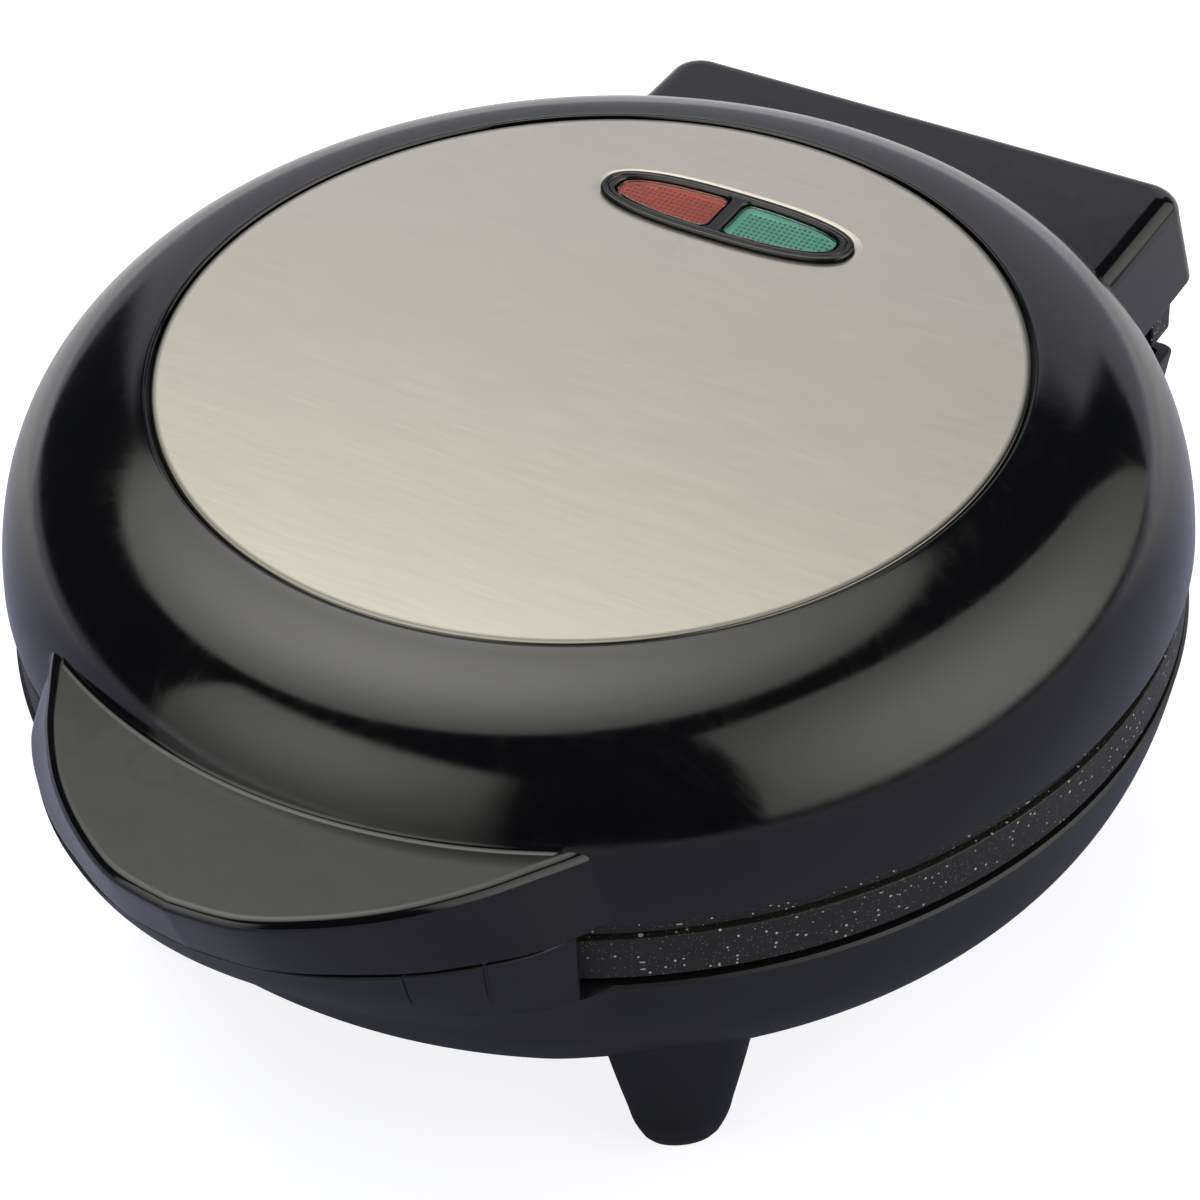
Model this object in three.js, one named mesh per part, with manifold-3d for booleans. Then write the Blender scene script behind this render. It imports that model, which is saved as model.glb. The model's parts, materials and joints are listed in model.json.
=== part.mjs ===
// Countertop omelette maker with a hinged lid, in millimetres, +Z up.
// The origin is on the table under the middle of the body, the handle points to -Y
// and the hinge is at +Y.
import * as THREE from 'three';
import { mergeVertices } from 'three/addons/utils/BufferGeometryUtils.js';
import Module from 'manifold-3d';

const wasm = await Module();
wasm.setup();

// Clearances
const seatGap = 0.3; // between pieces that rest on each other
const overrun = 2; // how far a cut runs past the face that it opens
const weld = 0.0001; // vertices closer than this are one

// Resolution, as counts
const roundSteps = 64;
const curveSteps = 8;
const smallSteps = 12;
const cornerSteps = 5;

// Radii of the round body
const bodyRadius = 105.1;
const bowlRimInset = 0.2;
const bowlFloorInset = 28.7;
const discInset = 29.3;
const bowlRimRadius = bodyRadius - bowlRimInset;
const bowlFloorRadius = bodyRadius - bowlFloorInset;
const discRadius = bodyRadius - discInset;

// Heights of the stack, from the table up
const legHeight = 18.6;
const bowlDepth = 33.5;
const bandHeight = 13.7;
const bowlFloorZ = legHeight;
const bowlRimZ = bowlFloorZ + bowlDepth;
const lidEdgeZ = bowlRimZ + bandHeight;

// Cooking plates
const bandInset = 0.8;
const plateInset = 0.9; // the upper plate is this much smaller
const plateWall = 2.8;
const plateParting = 0.4;
const upperBandHeight = 3.4;
const plateRise = 1.2; // above the bowl's rim
const skirtClearance = 0.8;
const skirtWall = 2.8;
const upperSkirtRise = 3.6;
const lowerSkirtDrop = 6.2;
const wellMargin = 13.3;
const wellCorner = 11;
const wellDivider = 9;
const wellDepth = 12;
const wellDraft = 3.4;
const plateRadius = bodyRadius - bandInset;
const wellRadius = plateRadius - wellMargin;
const upperBandTopZ = lidEdgeZ - seatGap;
const upperPlateZ = upperBandTopZ - upperBandHeight + seatGap;
const lowerPlateZ = upperPlateZ - plateParting;
const lowerBandBottomZ = bowlRimZ + plateRise;
const upperWellTopZ = upperPlateZ + wellDepth + plateWall;
const lowerWellBottomZ = lowerPlateZ - wellDepth - plateWall;
const upperSkirtTopZ = upperBandTopZ + upperSkirtRise;
const lowerSkirtBottomZ = lowerBandBottomZ - lowerSkirtDrop;

// Heating elements and their clamps
const elementSetIn = 31; // from the wells' outer edge
const elementRadius = wellRadius - elementSetIn;
const elementTube = 3.3;
const elementGapAngle = 0.3;
const elementTail = 16;
const elementTurns = 40;
const elementSides = 10;
const clampThickness = 1;
const clampWidth = 8;
const clampFoot = 9;

// Heat shields
const shieldThickness = 0.8;
const shieldClearance = 1;
const shieldWallInset = 6.9;
const shieldSlope = 7;
const shieldFlangeShare = 0.985;
const shieldHoleClearance = 0.5;

// Lamp window in the disc
const windowSetIn = 27.7; // from the disc's edge to the window's middle
const windowBack = discRadius - windowSetIn;
const bezelHalfLength = 25.4;
const bezelHalfWidth = 7.3;
const bezelEndRim = 1.7;
const bezelSideRim = 0.8;
const bezelProud = 0.5;
const bezelFlange = 1.2;
const bezelDepth = 9.4;
const ovalPower = 0.78; // below 1 the oval is fuller than an ellipse
const barWidth = 2.6;
const lensThickness = 3.4;
const lensRecess = 0.3;
const lampRadius = 2.2;
const lampLength = 11;
const lampCapSteps = 3;
const lampOffset = 10.5;
const holderThickness = 1.6;
const holderHalfLength = 20;
const holderHalfWidth = 4.4;

// Height of the lid: the plate, its element and shield, and the lamp holder under the disc
const lampRoom = 1.5; // between the shield and the lamp holder
const clampRise = elementTube * 2 + seatGap; // the element and the gap under it
const shieldRise = clampRise + seatGap + clampThickness + shieldClearance;
const upperShieldInnerZ = upperWellTopZ + shieldRise;
const upperShieldOuterZ = upperShieldInnerZ + shieldThickness;
const holderBottomZ = upperShieldOuterZ + lampRoom;
const holderTopZ = holderBottomZ + holderThickness;
const bezelBottomZ = holderTopZ + seatGap;
const bezelTopZ = bezelBottomZ + bezelDepth;
const discTopZ = bezelTopZ - bezelProud - seatGap;
const lidHeight = discTopZ - lidEdgeZ;

// Lid shell
const lidWall = 2.4;
const deckThickness = 2.8;
const discThickness = 0.8;
const ringLipWidth = 1.1;
const ringLipRise = 0.2;
const deckTopZ = discTopZ - discThickness - seatGap;
const deckUnderZ = deckTopZ - deckThickness;
const ringInnerRadius = discRadius + seatGap;
const ringCrestRadius = ringInnerRadius + ringLipWidth;
// Control points of the dome's curve, as shares of its reach and height
const domeReachShares = [0.892, 0.989];
const domeDropShares = [0.105, 0.721];

// Steel disc on the lid
const discBevelWidth = 1.2;
const discBevelDrop = 0.7;
const discSkirtDepth = 2.1;
const discSkirtWall = 0.6;
const discGrooveDepth = discSkirtDepth - discThickness + seatGap;

// Grip at the front of the lid, a crescent with a flat top
const gripOverhang = 24.4;
const gripHalfWidth = 52;
const gripTopDrop = 19.4;
const gripBevel = 1.9;
const gripBottomRise = 1.2;
const gripWall = 2.4;
const gripReach = bodyRadius + gripOverhang;
const gripTopZ = discTopZ - gripTopDrop;
const gripBottomZ = lidEdgeZ + gripBottomRise;
// Points of the crescent's edge: across as shares of the half width,
// forward as shares of the reach
const gripAcrossShares = [0, 0.23, 0.44, 0.635, 0.8, 0.92, 1, 1.045];
const gripForwardShares = [1, 0.986, 0.943, 0.883, 0.81, 0.74, 0.69, 0.655];
const gripUnderAcrossShares = [0, 0.24, 0.462, 0.69, 0.87, 0.98, 1.04, 1.07];
const gripUnderForwardShares = [0.972, 0.961, 0.926, 0.872, 0.81, 0.76, 0.718, 0.69];
const gripBackShare = 0.6;
// Where the middle line of a rounded edge lies, as a share of the edge's size
const edgeMiddleShare = 0.3;

// Hood over the hinge at the back of the lid
const hoodOverhang = 26.7;
const hoodHalfWidth = 58.4;
const hoodDraft = 2.7;
const hoodTopDrop = 24.9;
const hoodDepth = 10.9; // how far it hangs below the lid's edge
const hoodWall = 2.2;
const hoodCorner = 6.5;
const hoodBevel = 2.4;
const hoodChamfer = 3.6; // at the foot of its back
const hoodFrontShare = 0.8;
const hoodReach = bodyRadius + hoodOverhang;
const hoodTopZ = discTopZ - hoodTopDrop;
const hoodBottomZ = lidEdgeZ - hoodDepth;

// Hinge, which follows the hood over it and the housing under it
const backSetIn = 8.8; // from the hood's back to the housing's
const hingeSetIn = 3.8; // from the housing's back to the hinge
const hingeDrop = 1.9;
const backReach = hoodReach - backSetIn;
const hingeBack = backReach - hingeSetIn;
const hingeZ = bowlRimZ - hingeDrop;
const pinRadius = 2.2;
const pinHeadRadius = 3.4;
const pinHeadThickness = 1.2;
const lugThickness = 3.8;
const lugSetIn = 9.6; // from the hood's side to the inner face of the upper lug
const bossWidth = 3.8;
const bossBackReach = 3.7;
const bossFrontReach = 4.5;
const bossDrop = 4.4;
const upperLugInnerX = hoodHalfWidth - lugSetIn;
const upperLugOuterX = upperLugInnerX + lugThickness;
const bossOuterX = upperLugOuterX + bossWidth;
const lowerLugOuterX = upperLugInnerX - seatGap;
const lowerLugInnerX = lowerLugOuterX - lugThickness;
const lugNose = 6;

// Screws
const screwRadius = 1.8;
const screwHeadRadius = 3.4;
const screwHeadHeight = 1.8;
const screwSetIn = 5.8; // from the disc's edge
const screwCircle = discRadius - screwSetIn;
const screwEngage = 6;
const postWall = 2.6;
const screwHole = screwRadius + seatGap;
const postRadius = screwHole + postWall;
const screwHeadPocket = screwHeadRadius + seatGap;

// Thermostat and thermal fuse on the back of the plates
const thermostatRadius = 8;
const thermostatHeight = 6.4;
const thermostatCollar = 1.2;
const fuseRadius = 2;
const fuseLength = 14;
const fuseBack = 24;
const fuseSaddle = 1;

// Base bowl
const bowlWall = 2.6;
const bowlRimBevel = 0.5;
const bowlReachShares = [-0.056, 0.861];
const bowlDropShares = [0.249, 1];
const legSetIn = 14.9;
const legCircle = bodyRadius - legSetIn;
const legAngle = 0.668;
const legHalfWidth = 14.6;
const legHalfDepth = 7.4;
const legSteps = 20;
const legRoot = 10.6; // how far a leg runs up into the bowl's side
const legWidthShares = [0.22, 0.38, 0.46, 0.545, 0.63, 0.78, 0.92];
const legHeightShares = [0, 0.025, 0.08, 0.17, 0.34, 0.66, 1];

// Lip at the front of the base, under the grip
const lipHalfAngle = 0.505;
const lipFadeAngle = 0.58;
const lipProud = 2.8;
const lipBulge = 17.6;
const lipGap = 0.4;
const lipWall = 2.4;
const lipSink = 0.001; // the lip starts this far inside the bowl's side
const lipRootShare = 0.9;
const lipFadeShare = 0.86;
const lipSwellShare = 1.06;
const pocketAngleShare = 0.6;
const pocketLevelCount = 4;
const lipTopZ = gripBottomZ - lipGap;
// How much of the bulge and of the step past the bowl is left, from the lip's top down
const lipHeightShares = [1, 0.85, 0.69, 0.56, 0.43, 0.3, 0.18, 0.08];
const lipBulgeShares = [1, 0.8, 0.46, 0.18, 0.03, 0, 0, 0];
const lipProudShares = [1, 1, 1, 1.1, 1.1, 0.7, 0.3, 0];
const notchWidth = 1.5;
const notchDepth = 0.9;
const notchLength = 8;
const notchAngles = [0.283, 0.384];

// Housing at the back of the base, under the hood
const backDraft = 2.6;
const backWall = 2.2;
const backCorner = 2.4;
const backSideGap = 0.4;
const rimNotchMargin = 2;
const backTopDrop = 10.4;
const backFloorRise = 2.6;
const backFrontShare = 0.7;
const backTopZ = bowlRimZ - backTopDrop;
const backBottomZ = bowlFloorZ + backFloorRise;
const rimNotchDrop = 8.4;
const backHalfWidth = hoodHalfWidth - backSideGap;
const rimNotchHalfWidth = backHalfWidth - rimNotchMargin;

// Cord inlet bushing and terminal block
const bushingBore = 3.4;
const bushingNeck = 5;
const bushingFlange = 6.4;
const bushingFlangeThickness = 1.6;
const bushingDrop = 12.2;
const blockWidth = 30;
const blockDepth = 11;
const blockHeight = 9;
const blockSetIn = 14.4; // from the edge of the bowl's floor
const blockBack = bowlFloorRadius - blockSetIn;
const blockPoles = 3;
const blockHoleRadius = 1.6;

const black = { color: 0x141416, roughness: 0.28, metalness: 0 };
const satin = { color: 0x1c1c1f, roughness: 0.5, metalness: 0 };
const steel = { color: 0xbfbab2, roughness: 0.32, metalness: 1 };
const coating = { color: 0x2c2b28, roughness: 0.55, metalness: 0.2 };
const zinc = { color: 0x9a9da0, roughness: 0.4, metalness: 1 };
const ceramic = { color: 0xd9d4c6, roughness: 0.7, metalness: 0 };

const omeletteMaker = new THREE.Group();

// The round body stands off centre, so that the whole is centred between grip and hood
const roundBody = new THREE.Group();
roundBody.position.y = (gripReach - hoodReach) / 2;
omeletteMaker.add(roundBody);

// A closed solid from a geometry, with its faces turned out
function solid(geometry) {
  const bare = geometry.index ? geometry.toNonIndexed() : geometry.clone();
  bare.deleteAttribute('normal');
  bare.deleteAttribute('uv');
  const merged = mergeVertices(bare, weld);
  const at = merged.attributes.position.array;
  const faces = [];
  let volume = 0;
  for (let i = 0; i < merged.index.count; i += 3) {
    const [a, b, c] = [0, 1, 2].map((k) => merged.index.array[i + k]);
    if (a === b || b === c || a === c) continue;
    faces.push(a, b, c);
    const [p, q, r] = [a, b, c].map((k) => new THREE.Vector3().fromArray(at, k * 3));
    volume += p.dot(q.cross(r));
  }
  if (volume < 0) {
    for (let i = 0; i < faces.length; i += 3) {
      [faces[i + 1], faces[i + 2]] = [faces[i + 2], faces[i + 1]];
    }
  }
  const mesh = new wasm.Mesh({
    numProp: 3,
    vertProperties: new Float32Array(at),
    triVerts: new Uint32Array(faces),
  });
  return new wasm.Manifold(mesh);
}

// A named mesh from a solid, optionally placed
function piece(name, form, finish, x = 0, y = 0, z = 0) {
  const shape = form.getMesh();
  const geometry = new THREE.BufferGeometry();
  geometry.setAttribute('position', new THREE.BufferAttribute(shape.vertProperties, 3));
  geometry.setIndex(new THREE.BufferAttribute(shape.triVerts, 1));
  geometry.computeVertexNormals();
  const mesh = new THREE.Mesh(geometry, new THREE.MeshStandardMaterial(finish));
  mesh.name = name;
  mesh.position.set(x, y, z);
  roundBody.add(mesh);
  return mesh;
}

const join = (...solids) => solids.reduce((all, next) => all.add(next));
const cut = (body, ...tools) => tools.reduce((left, tool) => left.subtract(tool), body);

// A turned solid about +Z from [radius, height] pairs that start and end on the axis
function turned(profile, steps = roundSteps) {
  const points = profile.map(([r, z]) => new THREE.Vector2(r, z));
  return solid(new THREE.LatheGeometry(points, steps).rotateX(Math.PI / 2));
}

// A turned ring from [radius, height] pairs that close on themselves
function ring(profile, steps = roundSteps) {
  return turned([...profile, profile[0]], steps);
}

function cylinder(radius, bottom, top, x = 0, y = 0, steps = smallSteps) {
  const shape = new THREE.CylinderGeometry(radius, radius, top - bottom, steps);
  shape.rotateX(Math.PI / 2).translate(x, y, (bottom + top) / 2);
  return solid(shape);
}

// A box between two corners
function block(x0, x1, y0, y1, z0, z1) {
  const shape = new THREE.BoxGeometry(x1 - x0, y1 - y0, z1 - z0);
  return solid(shape.translate((x0 + x1) / 2, (y0 + y1) / 2, (z0 + z1) / 2));
}

// A solid through stacked outlines with the same number of points, lowest first
function loft(levels) {
  const count = levels[0].outline.length;
  const at = [];
  const push = (level, i) => {
    const point = level.outline[i % count];
    at.push(point.x, point.y, level.z);
  };
  for (let k = 0; k + 1 < levels.length; k += 1) {
    for (let i = 0; i < count; i += 1) {
      push(levels[k], i);
      push(levels[k], i + 1);
      push(levels[k + 1], i + 1);
      push(levels[k], i);
      push(levels[k + 1], i + 1);
      push(levels[k + 1], i);
    }
  }
  const bottom = levels[0];
  const top = levels[levels.length - 1];
  for (const [a, b, c] of THREE.ShapeUtils.triangulateShape(bottom.outline, [])) {
    push(bottom, a);
    push(bottom, c);
    push(bottom, b);
  }
  for (const [a, b, c] of THREE.ShapeUtils.triangulateShape(top.outline, [])) {
    push(top, a);
    push(top, b);
    push(top, c);
  }
  const shape = new THREE.BufferGeometry();
  shape.setAttribute('position', new THREE.Float32BufferAttribute(at, 3));
  return solid(shape);
}

const prism = (outline, bottom, top) => loft([
  { outline, z: bottom },
  { outline, z: top },
]);

// A solid with a side view in Y and Z, between two planes across X
function sideProfile(points, x0, x1) {
  const shape = new THREE.Shape(points.map(([y, z]) => new THREE.Vector2(y, z)));
  const view = new THREE.ExtrudeGeometry(shape, { depth: x1 - x0, bevelEnabled: false });
  const toSide = new THREE.Matrix4().set(0, 0, 1, x0, 1, 0, 0, 0, 0, 1, 0, 0, 0, 0, 0, 1);
  return solid(view.applyMatrix4(toSide));
}

const mirrored = (body) => body.mirror([1, 0, 0]);

const pair = (body) => join(body, mirrored(body));

// Points moved sideways from an open path, to the left of its direction
function offsetPath(path, distance) {
  return path.map((point, i) => {
    const before = path[Math.max(i - 1, 0)];
    const after = path[Math.min(i + 1, path.length - 1)];
    const along = new THREE.Vector2().subVectors(after, before).normalize();
    return new THREE.Vector2(point.x - along.y * distance, point.y + along.x * distance);
  });
}

const curveBetween = (start, a, b, end) => new THREE.CubicBezierCurve(
  new THREE.Vector2(...start),
  new THREE.Vector2(...a),
  new THREE.Vector2(...b),
  new THREE.Vector2(...end),
).getPoints(curveSteps);

const toPairs = (path) => path.map((point) => [point.x, point.y]);

// The lid's dome, from the ring round the disc out and down to the edge
const domeReach = bodyRadius - ringCrestRadius;
const domePath = curveBetween(
  [ringCrestRadius, discTopZ],
  [ringCrestRadius + domeReach * domeReachShares[0], discTopZ - lidHeight * domeDropShares[0]],
  [ringCrestRadius + domeReach * domeReachShares[1], discTopZ - lidHeight * domeDropShares[1]],
  [bodyRadius, lidEdgeZ],
);
const domeInside = offsetPath(domePath, -lidWall).filter((point) => point.y < deckUnderZ);

const lidBody = turned([
  [0, deckTopZ],
  [ringInnerRadius, deckTopZ],
  [ringInnerRadius, discTopZ],
  [ringInnerRadius + ringLipWidth / 2, discTopZ + ringLipRise],
  ...toPairs(domePath),
  [0, lidEdgeZ],
]);
const lidHollow = turned([
  [0, deckUnderZ],
  [domeInside[0].x, deckUnderZ],
  ...toPairs(domeInside),
  [bodyRadius - lidWall, lidEdgeZ - overrun],
  [0, lidEdgeZ - overrun],
]);

// Half of a crescent's edge from shares, mirrored to a whole outline that closes inside the lid
function crescent(acrossShares, forwardShares, inset) {
  const curve = new THREE.SplineCurve(acrossShares.map((across, i) => new THREE.Vector2(
    across * gripHalfWidth,
    -forwardShares[i] * gripReach,
  )));
  const right = offsetPath(curve.getPoints(curveSteps * 2), inset);
  right[0].x = 0;
  const back = -gripBackShare * gripReach;
  const left = right.slice(1).reverse().map((point) => new THREE.Vector2(-point.x, point.y));
  const tip = right[right.length - 1];
  return [
    new THREE.Vector2(-tip.x, back),
    ...left,
    ...right,
    new THREE.Vector2(tip.x, back),
  ];
}

const gripEdge = (inset) => crescent(gripAcrossShares, gripForwardShares, inset);
const gripLevels = (inset, bottom, top) => loft([
  { outline: crescent(gripUnderAcrossShares, gripUnderForwardShares, inset), z: bottom },
  { outline: gripEdge(inset), z: top - gripBevel },
  { outline: gripEdge(inset + gripBevel * edgeMiddleShare), z: top - gripBevel * edgeMiddleShare },
  { outline: gripEdge(inset + gripBevel), z: top },
]);
const gripBody = gripLevels(0, gripBottomZ, gripTopZ);
const gripHollow = cut(
  gripLevels(gripWall, gripBottomZ - overrun, gripTopZ - gripWall),
  cylinder(bodyRadius + seatGap, 0, discTopZ, 0, 0, roundSteps),
);

// A plan outline with square front corners and round back corners
function backOutline(halfWidth, front, back, corner) {
  const points = [new THREE.Vector2(halfWidth, front)];
  const turn = Array.from(
    { length: cornerSteps + 1 },
    (_, step) => (step / cornerSteps) * (Math.PI / 2),
  );
  for (const angle of turn) {
    points.push(new THREE.Vector2(
      halfWidth - corner + corner * Math.cos(angle),
      back - corner + corner * Math.sin(angle),
    ));
  }
  for (const angle of turn) {
    points.push(new THREE.Vector2(
      -halfWidth + corner - corner * Math.sin(angle),
      back - corner + corner * Math.cos(angle),
    ));
  }
  points.push(new THREE.Vector2(-halfWidth, front));
  return points;
}

const hoodFront = hoodFrontShare * bodyRadius;
const hoodLevel = (inset, share, z) => ({
  outline: backOutline(
    hoodHalfWidth - hoodDraft * share - inset,
    hoodFront,
    hoodReach - (hoodDraft * share) / 2 - inset,
    hoodCorner - inset / 2,
  ),
  z,
});
const hoodBody = loft([
  hoodLevel(0, 0, hoodBottomZ),
  hoodLevel(0, 1, hoodTopZ - hoodBevel),
  hoodLevel(hoodBevel * edgeMiddleShare, 1, hoodTopZ - hoodBevel * edgeMiddleShare),
  hoodLevel(hoodBevel, 1, hoodTopZ),
]);
const hoodHollow = loft([
  hoodLevel(hoodWall, 0, hoodBottomZ - overrun),
  hoodLevel(hoodWall, 1, hoodTopZ - hoodWall),
]);
const hoodFootCut = sideProfile([
  [hoodReach - hoodChamfer, hoodBottomZ],
  [hoodReach + overrun, hoodBottomZ + hoodChamfer + overrun],
  [hoodReach + overrun, hoodBottomZ - overrun],
  [hoodReach - hoodChamfer, hoodBottomZ - overrun],
], -hoodHalfWidth - overrun, hoodHalfWidth + overrun);
const bandClearance = cylinder(bodyRadius + seatGap, 0, lidEdgeZ, 0, 0, roundSteps);

const screwPlaces = [1, 3, 5, 7].map((eighth) => {
  const angle = (eighth * Math.PI) / 4;
  return [screwCircle * Math.cos(angle), screwCircle * Math.sin(angle)];
});

// A full oval outline, and half of it beside the middle bar
const fuller = (value) => Math.sign(value) * Math.abs(value) ** ovalPower;
const ovalPoint = (halfLength, halfWidth, angle) => new THREE.Vector2(
  halfLength * fuller(Math.cos(angle)),
  windowBack + halfWidth * fuller(Math.sin(angle)),
);
const oval = (halfLength, halfWidth) => Array.from(
  { length: roundSteps / 2 },
  (_, i) => ovalPoint(halfLength, halfWidth, (i / (roundSteps / 2)) * Math.PI * 2),
);
const halfOval = (halfLength, halfWidth, bar) => {
  const limit = Math.acos((bar / halfLength) ** (1 / ovalPower));
  return Array.from(
    { length: curveSteps * 2 + 1 },
    (_, i) => ovalPoint(halfLength, halfWidth, -limit + (i / (curveSteps * 2)) * limit * 2),
  );
};

const skirtHalfLength = bezelHalfLength - bezelFlange;
const skirtHalfWidth = bezelHalfWidth - bezelFlange;
const deckWindow = prism(
  oval(skirtHalfLength + seatGap, skirtHalfWidth + seatGap),
  deckUnderZ - overrun,
  discTopZ + overrun,
);
const discGroove = ring([
  [discRadius - discSkirtWall - seatGap, deckTopZ - discGrooveDepth],
  [ringInnerRadius, deckTopZ - discGrooveDepth],
  [ringInnerRadius, deckTopZ + overrun],
  [discRadius - discSkirtWall - seatGap, deckTopZ + overrun],
]);

// The lid's posts stop at the upper heat shield
const lidPosts = screwPlaces.map(([x, y]) => (
  cylinder(postRadius, upperShieldOuterZ + seatGap, deckTopZ, x, y)
));
const lidPostCuts = screwPlaces.map(([x, y]) => join(
  cylinder(screwHole, upperShieldOuterZ - overrun, discTopZ, x, y),
  cylinder(screwHeadPocket, deckTopZ - screwHeadHeight - seatGap, discTopZ, x, y),
));

const hoodOutside = cut(hoodBody, hoodFootCut, bandClearance);
const lidShell = cut(
  join(
    cut(join(lidBody, gripBody, hoodOutside), lidHollow, hoodHollow, gripHollow),
    ...lidPosts,
  ),
  deckWindow,
  discGroove,
  ...lidPostCuts,
);
piece('lid_shell', lidShell, black);

const discUnderZ = discTopZ - discThickness;
const disc = turned([
  [0, discTopZ],
  [discRadius - discBevelWidth, discTopZ],
  [discRadius, discTopZ - discBevelDrop],
  [discRadius, discTopZ - discSkirtDepth],
  [discRadius - discSkirtWall, discTopZ - discSkirtDepth],
  [discRadius - discSkirtWall, discUnderZ],
  [0, discUnderZ],
]);
const discWindow = prism(
  oval(skirtHalfLength + seatGap, skirtHalfWidth + seatGap),
  discUnderZ - overrun,
  discTopZ + overrun,
);
piece('steel_disc', cut(disc, discWindow), steel);

// The bezel's flange lies on the disc and its skirt goes down through the deck
const windowHalfLength = skirtHalfLength - bezelEndRim;
const windowHalfWidth = skirtHalfWidth - bezelSideRim;
const lensOutline = halfOval(windowHalfLength, windowHalfWidth, barWidth / 2);
const lensHole = prism(lensOutline, bezelBottomZ - overrun, bezelTopZ + overrun);
const bezel = cut(
  join(
    prism(oval(bezelHalfLength, bezelHalfWidth), discTopZ + seatGap, bezelTopZ),
    prism(oval(skirtHalfLength, skirtHalfWidth), bezelBottomZ, bezelTopZ),
  ),
  pair(lensHole),
);
piece('lamp_bezel', bezel, satin);

const lensTopZ = bezelTopZ - lensRecess;
const lens = prism(
  halfOval(windowHalfLength - seatGap, windowHalfWidth - seatGap, barWidth / 2 + seatGap),
  lensTopZ - lensThickness,
  lensTopZ,
);
piece('green_lens', lens, { color: 0x1f8f6a, roughness: 0.2, metalness: 0 });
piece('red_lens', mirrored(lens), { color: 0xc8281c, roughness: 0.2, metalness: 0 });

// Two small lamps lie in a holder under the lenses
const holder = block(
  -holderHalfLength,
  holderHalfLength,
  windowBack - holderHalfWidth,
  windowBack + holderHalfWidth,
  holderBottomZ,
  holderTopZ,
);
piece('lamp_holder', holder, ceramic);
const lampGlass = new THREE.CapsuleGeometry(
  lampRadius,
  lampLength - lampRadius * 2,
  lampCapSteps,
  smallSteps,
);
const lamp = solid(lampGlass.rotateZ(Math.PI / 2));
const lampZ = holderTopZ + seatGap + lampRadius;
piece('green_lamp', lamp, ceramic, lampOffset, windowBack, lampZ);
piece('red_lamp', lamp, ceramic, -lampOffset, windowBack, lampZ);

// A D-shaped well beside the divider, drawn in by the draft at its floor
function wellOutline(inset) {
  const near = wellDivider / 2 + inset;
  const far = wellRadius - inset;
  const corner = wellCorner - inset / 2;
  const tip = Math.asin((near + corner) / (far - corner));
  const points = [];
  const steps = curveSteps / 2;
  const middleX = near + corner;
  const middleY = (far - corner) * Math.cos(tip);
  const arc = (x, y, radius, from, to, count) => {
    for (let i = 0; i <= count; i += 1) {
      const angle = from + ((to - from) * i) / count;
      points.push(new THREE.Vector2(x + radius * Math.cos(angle), y + radius * Math.sin(angle)));
    }
  };
  const edge = Math.PI / 2 - tip;
  arc(0, 0, far, -edge, edge, curveSteps * 2);
  arc(middleX, middleY, corner, edge + (Math.PI - edge) / steps, Math.PI, steps - 1);
  arc(middleX, -middleY, corner, -Math.PI, -edge - (Math.PI - edge) / steps, steps - 1);
  return points;
}

const wellCut = (openZ, floorZ) => {
  const wide = { outline: wellOutline(0), z: openZ };
  const past = { outline: wellOutline(0), z: openZ + Math.sign(openZ - floorZ) * overrun };
  const floor = { outline: wellOutline(wellDraft), z: floorZ };
  return pair(loft(openZ > floorZ ? [floor, wide, past] : [past, wide, floor]));
};
const wellBody = (openZ, backZ) => {
  const wide = { outline: wellOutline(-plateWall), z: openZ };
  const floor = { outline: wellOutline(wellDraft - plateWall), z: backZ };
  return pair(loft(openZ > backZ ? [floor, wide] : [wide, floor]));
};

const skirtRadius = bodyRadius - lidWall - skirtClearance;
const upperRadius = plateRadius - plateInset;
const atScrews = (radius, from, to) => screwPlaces.map(([x, y]) => cylinder(radius, from, to, x, y));
const plateBosses = (from, to) => atScrews(postRadius, from, to);
const plateScrewHoles = (from, to) => atScrews(screwHole, from, to);

// Upper plate, with lugs that reach back and down to the hinge
const upperBossTopZ = upperShieldInnerZ - seatGap;
const upperFlat = turned([
  [0, upperPlateZ],
  [upperRadius, upperPlateZ],
  [upperRadius, upperBandTopZ],
  [skirtRadius, upperBandTopZ],
  [skirtRadius, upperSkirtTopZ],
  [skirtRadius - skirtWall, upperSkirtTopZ],
  [skirtRadius - skirtWall, upperPlateZ + plateWall],
  [0, upperPlateZ + plateWall],
]);
const lugRootY = Math.sqrt(plateRadius ** 2 - upperLugInnerX ** 2);
const upperLug = sideProfile([
  [lugRootY - lugNose, upperPlateZ],
  [lugRootY + lugNose / 2, upperPlateZ],
  [hingeBack - bossFrontReach, hingeZ],
  [hingeBack - bossFrontReach, hingeZ - bossDrop],
  [hingeBack + bossBackReach, hingeZ - bossDrop],
  [hingeBack + bossBackReach, hingeZ + bossDrop],
  [hingeBack - bossFrontReach, upperSkirtTopZ],
  [lugRootY - lugNose, upperSkirtTopZ],
], upperLugInnerX, upperLugOuterX);
const upperBoss = block(
  upperLugOuterX - weld,
  bossOuterX,
  hingeBack - bossFrontReach,
  hingeBack + bossBackReach,
  hingeZ - bossDrop,
  hoodBottomZ - seatGap,
);
const pinHole = (x0, x1, radius) => {
  const shape = new THREE.CylinderGeometry(radius, radius, x1 - x0, smallSteps);
  return solid(shape.rotateZ(Math.PI / 2).translate((x0 + x1) / 2, hingeBack, hingeZ));
};
const lugBore = pinHole(lowerLugInnerX - overrun, bossOuterX + overrun, pinRadius + seatGap);
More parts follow.
